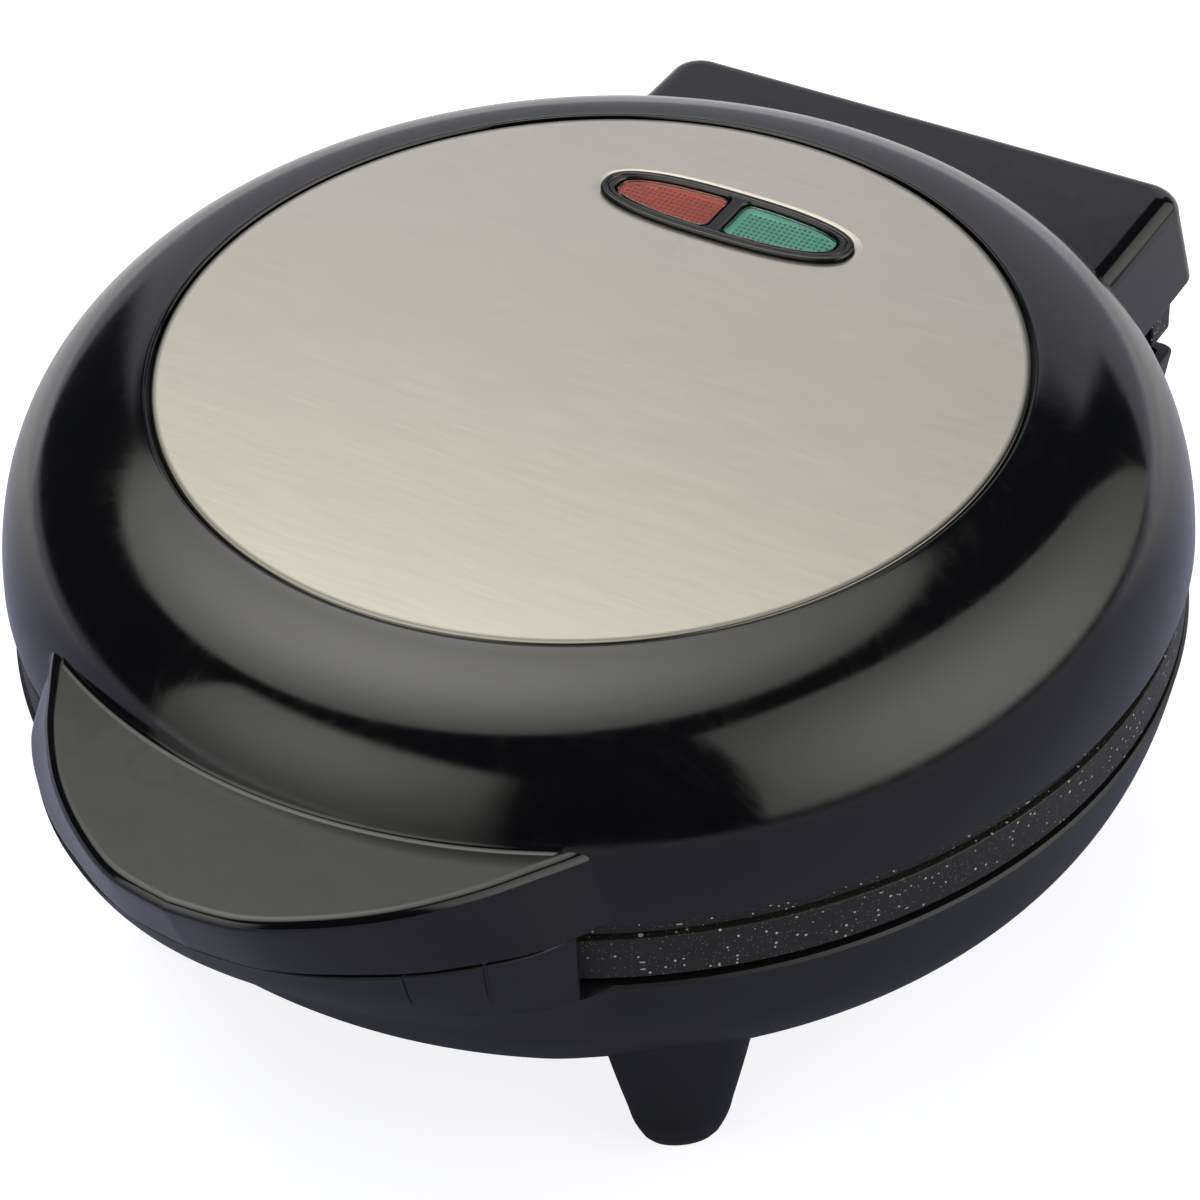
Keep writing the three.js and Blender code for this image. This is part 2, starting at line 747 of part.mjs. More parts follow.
const upperPlate = cut(
  join(
    upperFlat,
    wellBody(upperPlateZ + plateWall / 2, upperWellTopZ),
    ...plateBosses(upperPlateZ + plateWall / 2, upperBossTopZ),
    pair(join(upperLug, upperBoss)),
  ),
  wellCut(upperPlateZ, upperPlateZ + wellDepth),
  ...plateScrewHoles(upperBossTopZ - screwEngage, upperBossTopZ + overrun),
  pair(lugBore),
);
piece('upper_plate', upperPlate, coating);

// Lower plate, the same the other way up
const lowerShieldInnerZ = lowerWellBottomZ - shieldRise;
const lowerShieldOuterZ = lowerShieldInnerZ - shieldThickness;
const lowerBossBottomZ = lowerShieldInnerZ + seatGap;
const lowerFlat = turned([
  [0, lowerPlateZ],
  [plateRadius, lowerPlateZ],
  [plateRadius, lowerBandBottomZ],
  [skirtRadius, lowerBandBottomZ],
  [skirtRadius - plateInset, lowerSkirtBottomZ],
  [skirtRadius - skirtWall - plateInset, lowerSkirtBottomZ],
  [skirtRadius - skirtWall - plateInset, lowerPlateZ - plateWall],
  [0, lowerPlateZ - plateWall],
]);
const lowerLug = sideProfile([
  [lugRootY - lugNose, lowerPlateZ - plateWall],
  [lugRootY - lugNose, lowerBandBottomZ - plateWall],
  [hingeBack - bossFrontReach, hingeZ - bossDrop],
  [hingeBack + bossBackReach, hingeZ - bossDrop],
  [hingeBack + bossBackReach, hingeZ + bossDrop],
  [hingeBack - bossFrontReach, lowerPlateZ - plateWall],
], lowerLugInnerX, lowerLugOuterX);
const lowerPlate = cut(
  join(
    lowerFlat,
    wellBody(lowerPlateZ - plateWall / 2, lowerWellBottomZ),
    ...plateBosses(lowerBossBottomZ, lowerPlateZ - plateWall / 2),
    pair(lowerLug),
  ),
  wellCut(lowerPlateZ, lowerPlateZ - wellDepth),
  ...plateScrewHoles(lowerBossBottomZ - overrun, lowerBossBottomZ + screwEngage),
  pair(lugBore),
);
piece('lower_plate', lowerPlate, coating);

// Hinge pins, each with a head at its inner end
const pinEndX = bossOuterX - pinHeadThickness / 2;
const pinHeadX = lowerLugInnerX - seatGap;
const hingePin = join(
  pinHole(pinHeadX - pinHeadThickness, pinHeadX, pinHeadRadius),
  pinHole(pinHeadX - weld, pinEndX, pinRadius),
);
piece('hinge_pin_right', hingePin, zinc);
piece('hinge_pin_left', mirrored(hingePin), zinc);

// A bent tubular element, open towards the back where its ends turn out
class ElementPath extends THREE.Curve {
  getPoint(t, target = new THREE.Vector3()) {
    const sweep = Math.PI * 2 - elementGapAngle * 2;
    const arcLength = sweep * elementRadius;
    const total = arcLength + elementTail * 2;
    const run = t * total;
    const start = Math.PI / 2 + elementGapAngle;
    const along = Math.min(Math.max(run - elementTail, 0), arcLength);
    const angle = start + along / elementRadius;
    const end = run < elementTail ? elementTail - run : Math.max(run - elementTail - arcLength, 0);
    target.set(elementRadius * Math.cos(angle), elementRadius * Math.sin(angle), 0);
    target.y += run < elementTail || run > elementTail + arcLength ? end : 0;
    return target;
  }
}
const elementSection = new THREE.Shape(Array.from({ length: elementSides }, (_, i) => {
  const angle = (i / elementSides) * Math.PI * 2;
  return new THREE.Vector2(elementTube * Math.cos(angle), elementTube * Math.sin(angle));
}));
const elementTubeShape = () => solid(new THREE.ExtrudeGeometry(elementSection, {
  steps: elementTurns,
  extrudePath: new ElementPath(),
}));
const elementSeat = seatGap + elementTube;
piece('upper_heating_element', elementTubeShape(), zinc, 0, 0, upperWellTopZ + elementSeat);
piece('lower_heating_element', elementTubeShape(), zinc, 0, 0, lowerWellBottomZ - elementSeat);

// A strap over the element: two feet on the plate's back and a bridge over the tube
const clampInner = elementTube + seatGap;
const clampOuter = clampInner + clampThickness;
const clampTop = clampRise + clampThickness;
const acrossClamp = (x0, x1, z0, z1) => block(x0, x1, -clampWidth / 2, clampWidth / 2, z0, z1);
const clampStrap = (side) => {
  const shape = join(
    acrossClamp(-clampOuter, clampOuter, clampRise, clampTop),
    acrossClamp(clampInner, clampOuter, 0, clampTop),
    acrossClamp(-clampOuter, -clampInner, 0, clampTop),
    acrossClamp(clampInner, clampInner + clampFoot, 0, clampThickness),
  );
  return side > 0 ? shape : mirrored(shape);
};
for (const [sideName, side] of [['right', 1], ['left', -1]]) {
  const x = side * elementRadius;
  const upright = clampStrap(side);
  piece(`upper_element_clamp_${sideName}`, upright, zinc, x, 0, upperWellTopZ + seatGap);
  const flipped = upright.mirror([0, 0, 1]);
  piece(`lower_element_clamp_${sideName}`, flipped, zinc, x, 0, lowerWellBottomZ - seatGap);
}

// Pressed heat shields, a shallow pan over the back of each plate
const shieldFlangeRadius = (skirtRadius - plateInset) * shieldFlangeShare;
const shieldWallRadius = skirtRadius - shieldWallInset;
const shieldTopRadius = shieldWallRadius - shieldSlope;
const shieldPan = (innerZ, outerZ, flangeZ, direction) => {
  const flangeFarZ = flangeZ + direction * shieldThickness;
  return turned([
    [0, outerZ],
    [shieldTopRadius, outerZ],
    [shieldWallRadius, flangeFarZ],
    [shieldFlangeRadius, flangeFarZ],
    [shieldFlangeRadius, flangeZ],
    [shieldWallRadius - shieldThickness, flangeZ],
    [shieldTopRadius - shieldThickness, innerZ],
    [0, innerZ],
  ]);
};
const shieldHoles = (z) => screwPlaces.map(([x, y]) => (
  cylinder(screwHole + shieldHoleClearance, z - overrun, z + overrun, x, y)
));
const upperShield = cut(
  shieldPan(upperShieldInnerZ, upperShieldOuterZ, upperSkirtTopZ + seatGap, 1),
  ...shieldHoles((upperShieldInnerZ + upperShieldOuterZ) / 2),
);
piece('upper_heat_shield', upperShield, zinc);
const lowerShield = cut(
  shieldPan(lowerShieldInnerZ, lowerShieldOuterZ, lowerSkirtBottomZ - seatGap, -1),
  ...shieldHoles((lowerShieldInnerZ + lowerShieldOuterZ) / 2),
);
piece('lower_heat_shield', lowerShield, zinc);

// Thermostat in the middle of the upper plate's back, thermal fuse behind it
const thermostat = turned([
  [0, 0],
  [thermostatRadius + thermostatCollar, 0],
  [thermostatRadius + thermostatCollar, thermostatCollar],
  [thermostatRadius, thermostatCollar],
  [thermostatRadius, thermostatHeight],
  [0, thermostatHeight],
], smallSteps * 2);
piece('thermostat', thermostat, ceramic, 0, 0, upperWellTopZ + seatGap);
const fuseShape = new THREE.CylinderGeometry(fuseRadius, fuseRadius, fuseLength, smallSteps);
const fuse = join(
  solid(fuseShape.rotateZ(Math.PI / 2).translate(0, 0, fuseRadius + fuseSaddle / 2)),
  block(-fuseLength / 4, fuseLength / 4, -fuseRadius, fuseRadius, 0, fuseSaddle + fuseRadius),
);
piece('thermal_fuse', fuse, zinc, 0, -fuseBack, upperWellTopZ + seatGap);

// Base: bowl, front lip, back housing, legs and screw posts
const bowlReach = bowlRimRadius - bowlFloorRadius;
const bowlPath = curveBetween(
  [bowlRimRadius, bowlRimZ - bowlRimBevel],
  [bowlRimRadius + bowlReach * bowlReachShares[0], bowlRimZ - bowlDepth * bowlDropShares[0]],
  [bowlFloorRadius + bowlReach * bowlReachShares[1], bowlRimZ - bowlDepth * bowlDropShares[1]],
  [bowlFloorRadius, bowlFloorZ],
);
const bowlInside = offsetPath(bowlPath, -bowlWall)
  .filter((point) => point.y > bowlFloorZ + bowlWall);
const bowlBody = turned([
  [0, bowlRimZ],
  [bowlRimRadius - bowlRimBevel, bowlRimZ],
  ...toPairs(bowlPath),
  [0, bowlFloorZ],
]);
const bowlHollow = turned([
  [0, bowlRimZ + overrun],
  [bowlRimRadius - bowlWall, bowlRimZ + overrun],
  ...toPairs(bowlInside),
  [bowlInside[bowlInside.length - 1].x, bowlFloorZ + bowlWall],
  [0, bowlFloorZ + bowlWall],
]);

const bowlRadiusAt = (z) => {
  for (let i = 1; i < bowlPath.length; i += 1) {
    if (bowlPath[i].y <= z) {
      const [above, below] = [bowlPath[i - 1], bowlPath[i]];
      const share = (above.y - z) / (above.y - below.y);
      return THREE.MathUtils.lerp(above.x, below.x, Math.min(Math.max(share, 0), 1));
    }
  }
  return bowlFloorRadius;
};
const fade = (angle) => THREE.MathUtils.smoothstep(
  -Math.abs(angle),
  -lipFadeAngle,
  -lipHalfAngle * lipFadeShare,
);
const swellAngle = lipHalfAngle * lipSwellShare;
const swell = (angle) => (
  Math.abs(angle) < swellAngle ? Math.cos((Math.PI * angle) / swellAngle / 2) : 0
);

// One level of the lip: an arc in front, closed by an arc of the given back radius
function lipOutline(halfAngle, backRadius, radiusAt) {
  const count = curveSteps * 3;
  const angles = Array.from({ length: count + 1 }, (_, i) => (i / count) * halfAngle * 2 - halfAngle);
  const at = (radius, angle) => new THREE.Vector2(radius * Math.sin(angle), -radius * Math.cos(angle));
  const front = angles.map((angle) => at(radiusAt(angle), angle));
  const back = [...angles].reverse().map((angle) => at(backRadius, angle));
  return [...front, ...back];
}
const lipLevels = lipHeightShares.map((share, i) => ({
  z: bowlFloorZ + (lipTopZ - bowlFloorZ) * share,
  bulge: lipBulge * lipBulgeShares[i],
  proud: lipProud * lipProudShares[i],
})).reverse();
const lipRootRadius = bowlFloorRadius * lipRootShare;
const atBowlRim = {
  z: bowlRimZ,
  bulge: lipBulge * lipBulgeShares[2],
  proud: lipProud * lipProudShares[2],
};
const belowRim = lipLevels.filter((level) => level.z < bowlRimZ).concat(atBowlRim);
const lowerLip = loft(belowRim.map(({ z, bulge, proud }) => ({
  outline: lipOutline(lipFadeAngle, lipRootRadius, (angle) => (
    bowlRadiusAt(z) - lipSink + bulge * swell(angle) + proud * fade(angle)
  )),
  z,
})));
const aboveRim = [atBowlRim].concat(lipLevels.filter((level) => level.z > bowlRimZ));
const upperLip = loft(aboveRim.map(({ z, bulge, proud }) => ({
  outline: lipOutline(lipHalfAngle, bowlRimRadius - bowlWall, (angle) => (
    bowlRimRadius + bulge * swell(angle) + proud
  )),
  z,
})));
const lipClearance = join(
  cylinder(plateRadius + seatGap * 2, bowlRimZ, lidEdgeZ, 0, 0, roundSteps),
  cylinder(bodyRadius + seatGap, lidEdgeZ - seatGap, lidEdgeZ + lidHeight, 0, 0, roundSteps),
);
const pocketLevels = lipLevels.slice(-pocketLevelCount);
const pocketTop = { ...lipLevels[lipLevels.length - 1], z: lipTopZ + overrun };
const lipPocket = loft(pocketLevels.concat(pocketTop).map(({ z, bulge, proud }) => ({
  outline: lipOutline(lipHalfAngle * pocketAngleShare, bowlRadiusAt(z) + lipWall / 2, (angle) => (
    bowlRadiusAt(z) + bulge * swell(angle) + proud - lipWall
  )),
  z,
})));
const notches = notchAngles.flatMap((angle) => [angle, -angle]).map((angle) => {
  const face = bowlRimRadius + lipProud + lipBulge * swell(angle);
  const tool = new THREE.BoxGeometry(notchWidth, notchDepth * 2, notchLength * 2);
  return solid(tool.translate(0, -face, lipTopZ).rotateZ(angle));
});

const backFront = backFrontShare * bodyRadius;
const backLevel = (inset, draft, z) => ({
  outline: backOutline(
    backHalfWidth - draft - inset,
    backFront,
    backReach - draft - inset,
    backCorner - inset / 2,
  ),
  z,
});
const backBody = loft([
  backLevel(backCorner / 2, backDraft, backBottomZ),
  backLevel(0, backDraft, backBottomZ + backCorner / 2),
  backLevel(0, 0, backTopZ),
]);
const backHollow = cut(
  loft([
    backLevel(backCorner / 2 + backWall, backDraft, backBottomZ + backWall),
    backLevel(backWall, backDraft, backBottomZ + backCorner / 2 + backWall),
    backLevel(backWall, 0, backTopZ + overrun),
  ]),
  bowlBody,
);
const rimNotch = block(
  -rimNotchHalfWidth,
  rimNotchHalfWidth,
  backFront,
  backReach,
  bowlRimZ - rimNotchDrop,
  bowlRimZ + overrun,
);

// A leg is a tapered tongue with a round end, broad side out
const legTurns = Array.from({ length: legSteps }, (_, i) => (i / legSteps) * Math.PI * 2);
const leg = loft(legHeightShares.map((share, i) => ({
  outline: legTurns.map((turn) => new THREE.Vector2(
    legHalfWidth * legWidthShares[i] * Math.cos(turn),
    legHalfDepth * legWidthShares[i] * Math.sin(turn) - legCircle,
  )),
  z: share * (legHeight + legRoot),
})));
const rearLeg = leg.mirror([0, 1, 0]);
const degrees = THREE.MathUtils.radToDeg;
const legs = [legAngle, -legAngle].flatMap((angle) => [
  leg.rotate([0, 0, degrees(angle)]),
  rearLeg.rotate([0, 0, degrees(angle)]),
]);

const basePosts = screwPlaces.map(([x, y]) => (
  cylinder(postRadius, bowlFloorZ, lowerShieldOuterZ - seatGap, x, y)
));
const basePostCuts = screwPlaces.map(([x, y]) => join(
  cylinder(screwHole, 0, lowerShieldInnerZ, x, y),
  cylinder(screwHeadPocket, 0, bowlFloorZ + screwHeadHeight + seatGap, x, y),
));
const bushingZ = backTopZ - bushingDrop;
const alongY = (radius, y0, y1, z) => {
  const shape = new THREE.CylinderGeometry(radius, radius, y1 - y0, smallSteps * 2);
  return solid(shape.translate(0, (y0 + y1) / 2, z));
};
const bushingHole = alongY(
  bushingNeck + seatGap,
  backReach - backDraft - backWall - overrun,
  backReach + overrun,
  bushingZ,
);

const baseOuter = join(
  bowlBody,
  lowerLip,
  cut(upperLip, lipClearance),
  backBody,
  ...legs,
);
const baseShell = cut(
  join(cut(baseOuter, bowlHollow, lipPocket, backHollow, rimNotch), ...basePosts),
  ...basePostCuts,
  ...notches,
  bushingHole,
);
piece('base_shell', baseShell, satin);

// Long screws: from the deck down into the upper plate, from below up into the lower plate
const screwReach = screwEngage - seatGap * 2;
const screw = (length) => join(
  cylinder(screwHeadRadius, 0, screwHeadHeight),
  cylinder(screwRadius, -length, weld),
);
const lidScrewZ = deckTopZ - screwHeadHeight;
const lidScrewLength = lidScrewZ - (upperBossTopZ - screwReach);
const baseScrewZ = bowlFloorZ + screwHeadHeight;
const baseScrewLength = lowerBossBottomZ + screwReach - baseScrewZ;
screwPlaces.forEach(([x, y], i) => {
  piece(`lid_screw_${i + 1}`, screw(lidScrewLength), zinc, x, y, lidScrewZ);
  const upside = screw(baseScrewLength).mirror([0, 0, 1]);
  piece(`base_screw_${i + 1}`, upside, zinc, x, y, baseScrewZ);
});

// Cord inlet: a hollow bushing in the back wall
const bushingInner = backReach - backDraft - backWall - bushingFlangeThickness;
const bushingOuter = backReach + seatGap + bushingFlangeThickness;
const bushing = cut(
  join(
    alongY(bushingNeck, bushingInner, bushingOuter, bushingZ),
    alongY(bushingFlange, backReach + seatGap, bushingOuter, bushingZ),
  ),
  alongY(bushingBore, bushingInner - overrun, bushingOuter + overrun, bushingZ),
);
piece('cord_bushing', bushing, satin);

// Terminal block on the bowl's floor
const poleHoles = Array.from({ length: blockPoles }, (_, i) => {
  const x = ((i + 0.5) / blockPoles - 0.5) * blockWidth;
  return cylinder(blockHoleRadius, blockHeight / 2, blockHeight + overrun, x, 0);
});
const terminalBlock = cut(
  block(-blockWidth / 2, blockWidth / 2, -blockDepth / 2, blockDepth / 2, 0, blockHeight),
  ...poleHoles,
);
piece('terminal_block', terminalBlock, ceramic, 0, blockBack, bowlFloorZ + bowlWall + seatGap);

export default omeletteMaker;
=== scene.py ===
# %% [markdown]
# # A countertop omelette maker, dressed for a studio picture
#
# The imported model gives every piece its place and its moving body. It is faceted and plain, so
# this lesson puts a fine surface over each visible solid. The hidden ones get a smooth copy.
# Everything is in metres in the same frame: +Z is up, -Y points to the grip, +Y to the hinge.

# %% Load the frame
import json
import math

import bmesh
import bpy
import numpy as np
from mathutils import Matrix, Vector

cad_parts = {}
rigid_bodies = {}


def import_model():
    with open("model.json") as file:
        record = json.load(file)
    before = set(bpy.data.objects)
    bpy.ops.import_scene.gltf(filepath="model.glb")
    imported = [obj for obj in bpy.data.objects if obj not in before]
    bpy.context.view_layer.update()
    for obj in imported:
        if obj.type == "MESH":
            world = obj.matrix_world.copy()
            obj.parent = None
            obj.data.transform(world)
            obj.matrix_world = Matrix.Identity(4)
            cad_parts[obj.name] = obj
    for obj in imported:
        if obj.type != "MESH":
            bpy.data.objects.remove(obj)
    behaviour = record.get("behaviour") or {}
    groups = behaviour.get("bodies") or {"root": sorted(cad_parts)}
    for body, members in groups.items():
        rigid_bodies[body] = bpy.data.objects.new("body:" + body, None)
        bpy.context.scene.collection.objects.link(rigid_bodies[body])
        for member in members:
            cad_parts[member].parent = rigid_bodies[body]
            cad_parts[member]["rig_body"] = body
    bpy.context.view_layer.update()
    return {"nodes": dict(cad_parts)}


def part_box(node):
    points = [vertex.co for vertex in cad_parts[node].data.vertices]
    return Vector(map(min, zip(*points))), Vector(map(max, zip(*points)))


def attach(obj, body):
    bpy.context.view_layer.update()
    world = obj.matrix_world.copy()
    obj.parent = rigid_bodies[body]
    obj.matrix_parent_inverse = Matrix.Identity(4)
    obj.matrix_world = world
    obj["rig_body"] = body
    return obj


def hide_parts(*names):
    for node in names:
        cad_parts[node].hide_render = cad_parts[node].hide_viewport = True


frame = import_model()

# %% [markdown]
# ## Reading sizes from the frame
#
# The appliance is round, so most of its forms are easiest to write as a radius and a height
# round one upright axis. That axis runs through the middle of the steel disc. All shapes below
# are written in millimetres from that axis and are turned into metres in the frame once, when
# the mesh is made. Heights that the frame knows are read from it and not typed again.

# %% Axis and heights
MM = 0.001


def span(node):
    """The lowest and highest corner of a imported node, in millimetres."""
    low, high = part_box(node)
    return low / MM, high / MM


disc_low, disc_high = span("steel_disc")
bezel_high = span("lamp_bezel")[1]

AXIS_Y = (disc_low.y + disc_high.y) / 2
DISC_TOP = disc_high.z
BEZEL_TOP = bezel_high.z
BODY_R = 105.1
LID_EDGE = DISC_TOP - 33.4
BOWL_RIM = LID_EDGE - 13.7
BOWL_DEPTH = 33.5
BOWL_FLOOR = BOWL_RIM - BOWL_DEPTH
GAP = 0.3
print("axis y", round(AXIS_Y, 3), "disc top", round(DISC_TOP, 2), "lid edge", round(LID_EDGE, 2))

# %% [markdown]
# ## Small tools for making meshes
#
# Three helpers cover nearly every form. `grid_piece` joins rings of points to a closed skin,
# `revolve` turns a profile, and `loft` stacks outlines. Each mends its own poles and makes its
# faces point out, because booleans and glass both need a clean closed skin.

# %% Mesh helpers
def to_frame(points):
    """Millimetres from the body's axis to metres in the frame."""
    moved = np.array(points, float).reshape(-1, 3)
    moved[:, 1] += AXIS_Y
    return moved * MM


def mend(mesh, weld=1e-6):
    """Merge points that meet, drop empty faces and turn all faces outwards."""
    work = bmesh.new()
    work.from_mesh(mesh)
    bmesh.ops.remove_doubles(work, verts=work.verts, dist=weld)
    bmesh.ops.dissolve_degenerate(work, edges=work.edges, dist=weld / 2)
    bmesh.ops.recalc_face_normals(work, faces=work.faces)
    work.to_mesh(mesh)
    work.free()


def new_piece(name, points, faces):
    mesh = bpy.data.meshes.new(name)
    mesh.from_pydata(to_frame(points).tolist(), [], faces)
    mend(mesh)
    piece = bpy.data.objects.new(name, mesh)
    bpy.context.scene.collection.objects.link(piece)
    return piece


def grid_piece(name, columns):
    """Columns of points, each a closed loop, joined side by side and back to the first."""
    grid = np.array(columns, float)
    count, rows = grid.shape[:2]
    faces = []
    for i in range(count):
        j = (i + 1) % count
        for k in range(rows):
            m = (k + 1) % rows
            faces.append((i * rows + k, j * rows + k, j * rows + m, i * rows + m))
    return new_piece(name, grid.reshape(-1, 3), faces)


def revolve(name, profile, steps=256):
    """Turn (radius, height) pairs round the axis; the profile closes on itself."""
    turns = np.linspace(0, 2 * math.pi, steps, endpoint=False)
    radius, height = np.array(profile, float).T
    return grid_piece(name, [
        np.stack([radius * math.sin(t), -radius * math.cos(t), height], 1) for t in turns
    ])


def loft(name, rings):
    """Stack outlines of the same number of points, lowest first, and cap both ends."""
    rings = [np.array(ring, float) for ring in rings]
    count = len(rings[0])
    faces = [tuple(reversed(range(count)))]
    for k in range(len(rings) - 1):
        for i in range(count):
            j = (i + 1) % count
            a, b = k * count, (k + 1) * count
            faces.append((a + i, a + j, b + j, b + i))
    last = (len(rings) - 1) * count
    faces.append(tuple(range(last, last + count)))
    return new_piece(name, np.concatenate(rings), faces)


def at_height(outline, z):
    """A flat outline of (x, y) points raised to a height."""
    outline = np.array(outline, float)
    return np.column_stack([outline, np.full(len(outline), z)])


print("mesh helpers ready")

# %% [markdown]
# Solids are joined and cut with exact booleans. The result is taken from the evaluated object
# as a plain mesh, so that no modifier is left behind. `soften` then shades the curved parts
# smooth, keeps the creases, and lets the large flat faces set the normals beside an edge.

# %% Booleans and shading
def evaluated_mesh(piece):
    graph = bpy.context.evaluated_depsgraph_get()
    return bpy.data.meshes.new_from_object(piece.evaluated_get(graph))


def keep_result(piece):
    """Put the modifiers' result into the mesh and remove the modifiers."""
    made = evaluated_mesh(piece)
    piece.modifiers.clear()
    old = piece.data
    piece.data = made
    bpy.data.meshes.remove(old)
    return piece


def combine(piece, tools, operation):
    """UNION, DIFFERENCE or INTERSECT the piece with each tool, which is then thrown away."""
    for tool in tools:
        step = piece.modifiers.new("combine", "BOOLEAN")
        step.solver, step.operation, step.object = "EXACT", operation, tool
    keep_result(piece)
    for tool in tools:
        bpy.data.objects.remove(tool)
    return piece


def soften(piece, angle=32, weighted=True):
    mend(piece.data)
    mesh = piece.data
    mesh.shade_smooth()
    mesh.set_sharp_from_angle(angle=math.radians(angle))
    if weighted:
        step = piece.modifiers.new("flat faces lead", "WEIGHTED_NORMAL")
        step.keep_sharp = True
        keep_result(piece)
    return piece


def bezier(a, b, c, d, count):
    t = np.linspace(0, 1, count)[:, None]
    a, b, c, d = (np.array(p, float) for p in (a, b, c, d))
    return (1 - t) ** 3 * a + 3 * (1 - t) ** 2 * t * b + 3 * (1 - t) * t**2 * c + t**3 * d


def offset_path(path, distance):
    """Points moved sideways from an open path, to the left of its direction."""
    ahead = np.roll(path, -1, 0)
    behind = np.roll(path, 1, 0)
    ahead[-1], behind[0] = path[-1], path[0]
    along = ahead - behind
    along /= np.linalg.norm(along, axis=1)[:, None]
    return path + np.column_stack([-along[:, 1], along[:, 0]]) * distance


def quarter(radius, count=6):
    """(inset, drop) pairs round a quarter of an edge, from the wall up to the top face."""
    turns = np.linspace(0, math.pi / 2, count)
    return [(radius * (1 - math.cos(t)), radius * (1 - math.sin(t))) for t in turns]


def describe(piece):
    low, high = (np.array(piece.bound_box).min(0), np.array(piece.bound_box).max(0))
    print(piece.name, len(piece.data.polygons), "faces", np.round((high - low) / MM, 1), "mm")


print("booleans ready")

# %% [markdown]
# ## The lid cover
#
# The real cover is one glossy black moulding: a dome round the disc, a flat crescent that is the
# grip, and a box at the back that hides the hinge. A subdivision cage could give it, but its
# creases are exact arcs where a plane or a box meets the dome. So the dome is turned from its
# curve, the grip and hood are lofted, and booleans find the creases.

# %% Dome of the lid
DISC_R = BODY_R - 29.3
RING_R = DISC_R + GAP
CREST_R = RING_R + 1.1
DECK_TOP = DISC_TOP - 0.8 - GAP
DECK_UNDER = DECK_TOP - 2.8
LID_WALL = 2.4
LID_HEIGHT = DISC_TOP - LID_EDGE
dome_reach = BODY_R - CREST_R

dome_path = bezier(
    (CREST_R, DISC_TOP),
    (CREST_R + dome_reach * 0.892, DISC_TOP - LID_HEIGHT * 0.105),
    (CREST_R + dome_reach * 0.989, DISC_TOP - LID_HEIGHT * 0.721),
    (BODY_R, LID_EDGE),
    56,
)
dome_inside = offset_path(dome_path, -LID_WALL)
dome_inside = dome_inside[dome_inside[:, 1] < DECK_UNDER - 0.5]
edge_round = 0.45
dome_edge = [
    (BODY_R - inset, LID_EDGE + drop) for inset, drop in quarter(edge_round, 4)
]
lid_crest = [
    (RING_R, DISC_TOP - 0.15),
    (RING_R + 0.2, DISC_TOP + 0.12),
    (RING_R + 0.55, DISC_TOP + 0.2),
    (RING_R + 0.9, DISC_TOP + 0.13),
]
lid_cover = revolve("lid_cover", [
    (0, DECK_TOP),
    (RING_R, DECK_TOP),
    *lid_crest,
    *dome_path[:-2],
    *dome_edge,
    (0, LID_EDGE),
])
lid_hollow = revolve("lid_hollow", [
    (0, DECK_UNDER),
    (dome_inside[0][0], DECK_UNDER),
    *dome_inside,
    (BODY_R - LID_WALL, LID_EDGE - 2),
    (0, LID_EDGE - 2),
])
describe(lid_cover)

# %% [markdown]
# The grip's edge is a spline through a few points, given as shares of its half width and reach.
# Its top is flat and its edge is rounded by a quarter circle, which catches the light as a thin
# line. Underneath it is hollow, as a moulding is.

# %% Grip of the lid
GRIP_REACH = BODY_R + 24.4
GRIP_HALF = 52
GRIP_TOP = DISC_TOP - 19.4
GRIP_BOTTOM = LID_EDGE + 1.2
GRIP_EDGE = 1.9
GRIP_WALL = 2.4
TIP_WIDER = 0.7
GRIP_OVER = [
    (0, 1), (0.23, 0.986), (0.44, 0.943), (0.635, 0.883),
    (0.8, 0.81), (0.92, 0.74), (1, 0.69), (1.045, 0.655),
]
GRIP_UNDER = [
    (0, 0.972), (0.24, 0.961), (0.462, 0.926), (0.69, 0.872),
    (0.87, 0.81), (0.98, 0.76), (1.04, 0.718), (1.07, 0.69),
]


def spline(points, count):
    """A uniform Catmull-Rom curve that passes through the points."""
    points = np.array(points, float)
    last = len(points) - 1
    made = []
    for t in np.linspace(0, last, count):
        k = min(int(t), last - 1)
        f = t - k
        p = [points[min(max(k + n, 0), last)] for n in (-1, 0, 1, 2)]
        v0, v1 = (p[2] - p[0]) / 2, (p[3] - p[1]) / 2
        made.append(
            (2 * p[1] - 2 * p[2] + v0 + v1) * f**3
            + (-3 * p[1] + 3 * p[2] - 2 * v0 - v1) * f**2
            + v0 * f
            + p[1]
        )
    return np.array(made)


def crescent(shares, inset, count=72):
    """The grip's whole edge, which closes inside the dome; the inset grows towards the tips."""
    edge = spline([(a * GRIP_HALF, -f * GRIP_REACH) for a, f in shares], count)
    wider = 1 + TIP_WIDER * np.linspace(0, 1, count)[:, None] ** 3
    right = offset_path(edge, inset * wider)
    right[0, 0] = 0
    left = right[:0:-1] * (-1, 1)
    back = -0.6 * GRIP_REACH
    return np.vstack([[(-right[-1, 0], back)], left, right, [(right[-1, 0], back)]])


def grip_rings(inset, bottom, top, foot=0.5):
    rings = [
        at_height(crescent(GRIP_UNDER, inset + cut), bottom + rise)
        for cut, rise in [(foot, 0), (foot * 0.3, foot * 0.3), (0, foot)]
    ]
    for share in (0.25, 0.5, 0.75):
        under, over = crescent(GRIP_UNDER, inset), crescent(GRIP_OVER, inset)
        z = bottom + foot + (top - GRIP_EDGE - bottom - foot) * share
        rings.append(at_height(under + (over - under) * share, z))
    for cut, drop in quarter(GRIP_EDGE, 8):
        rings.append(at_height(crescent(GRIP_OVER, inset + cut), top - drop))
    return rings


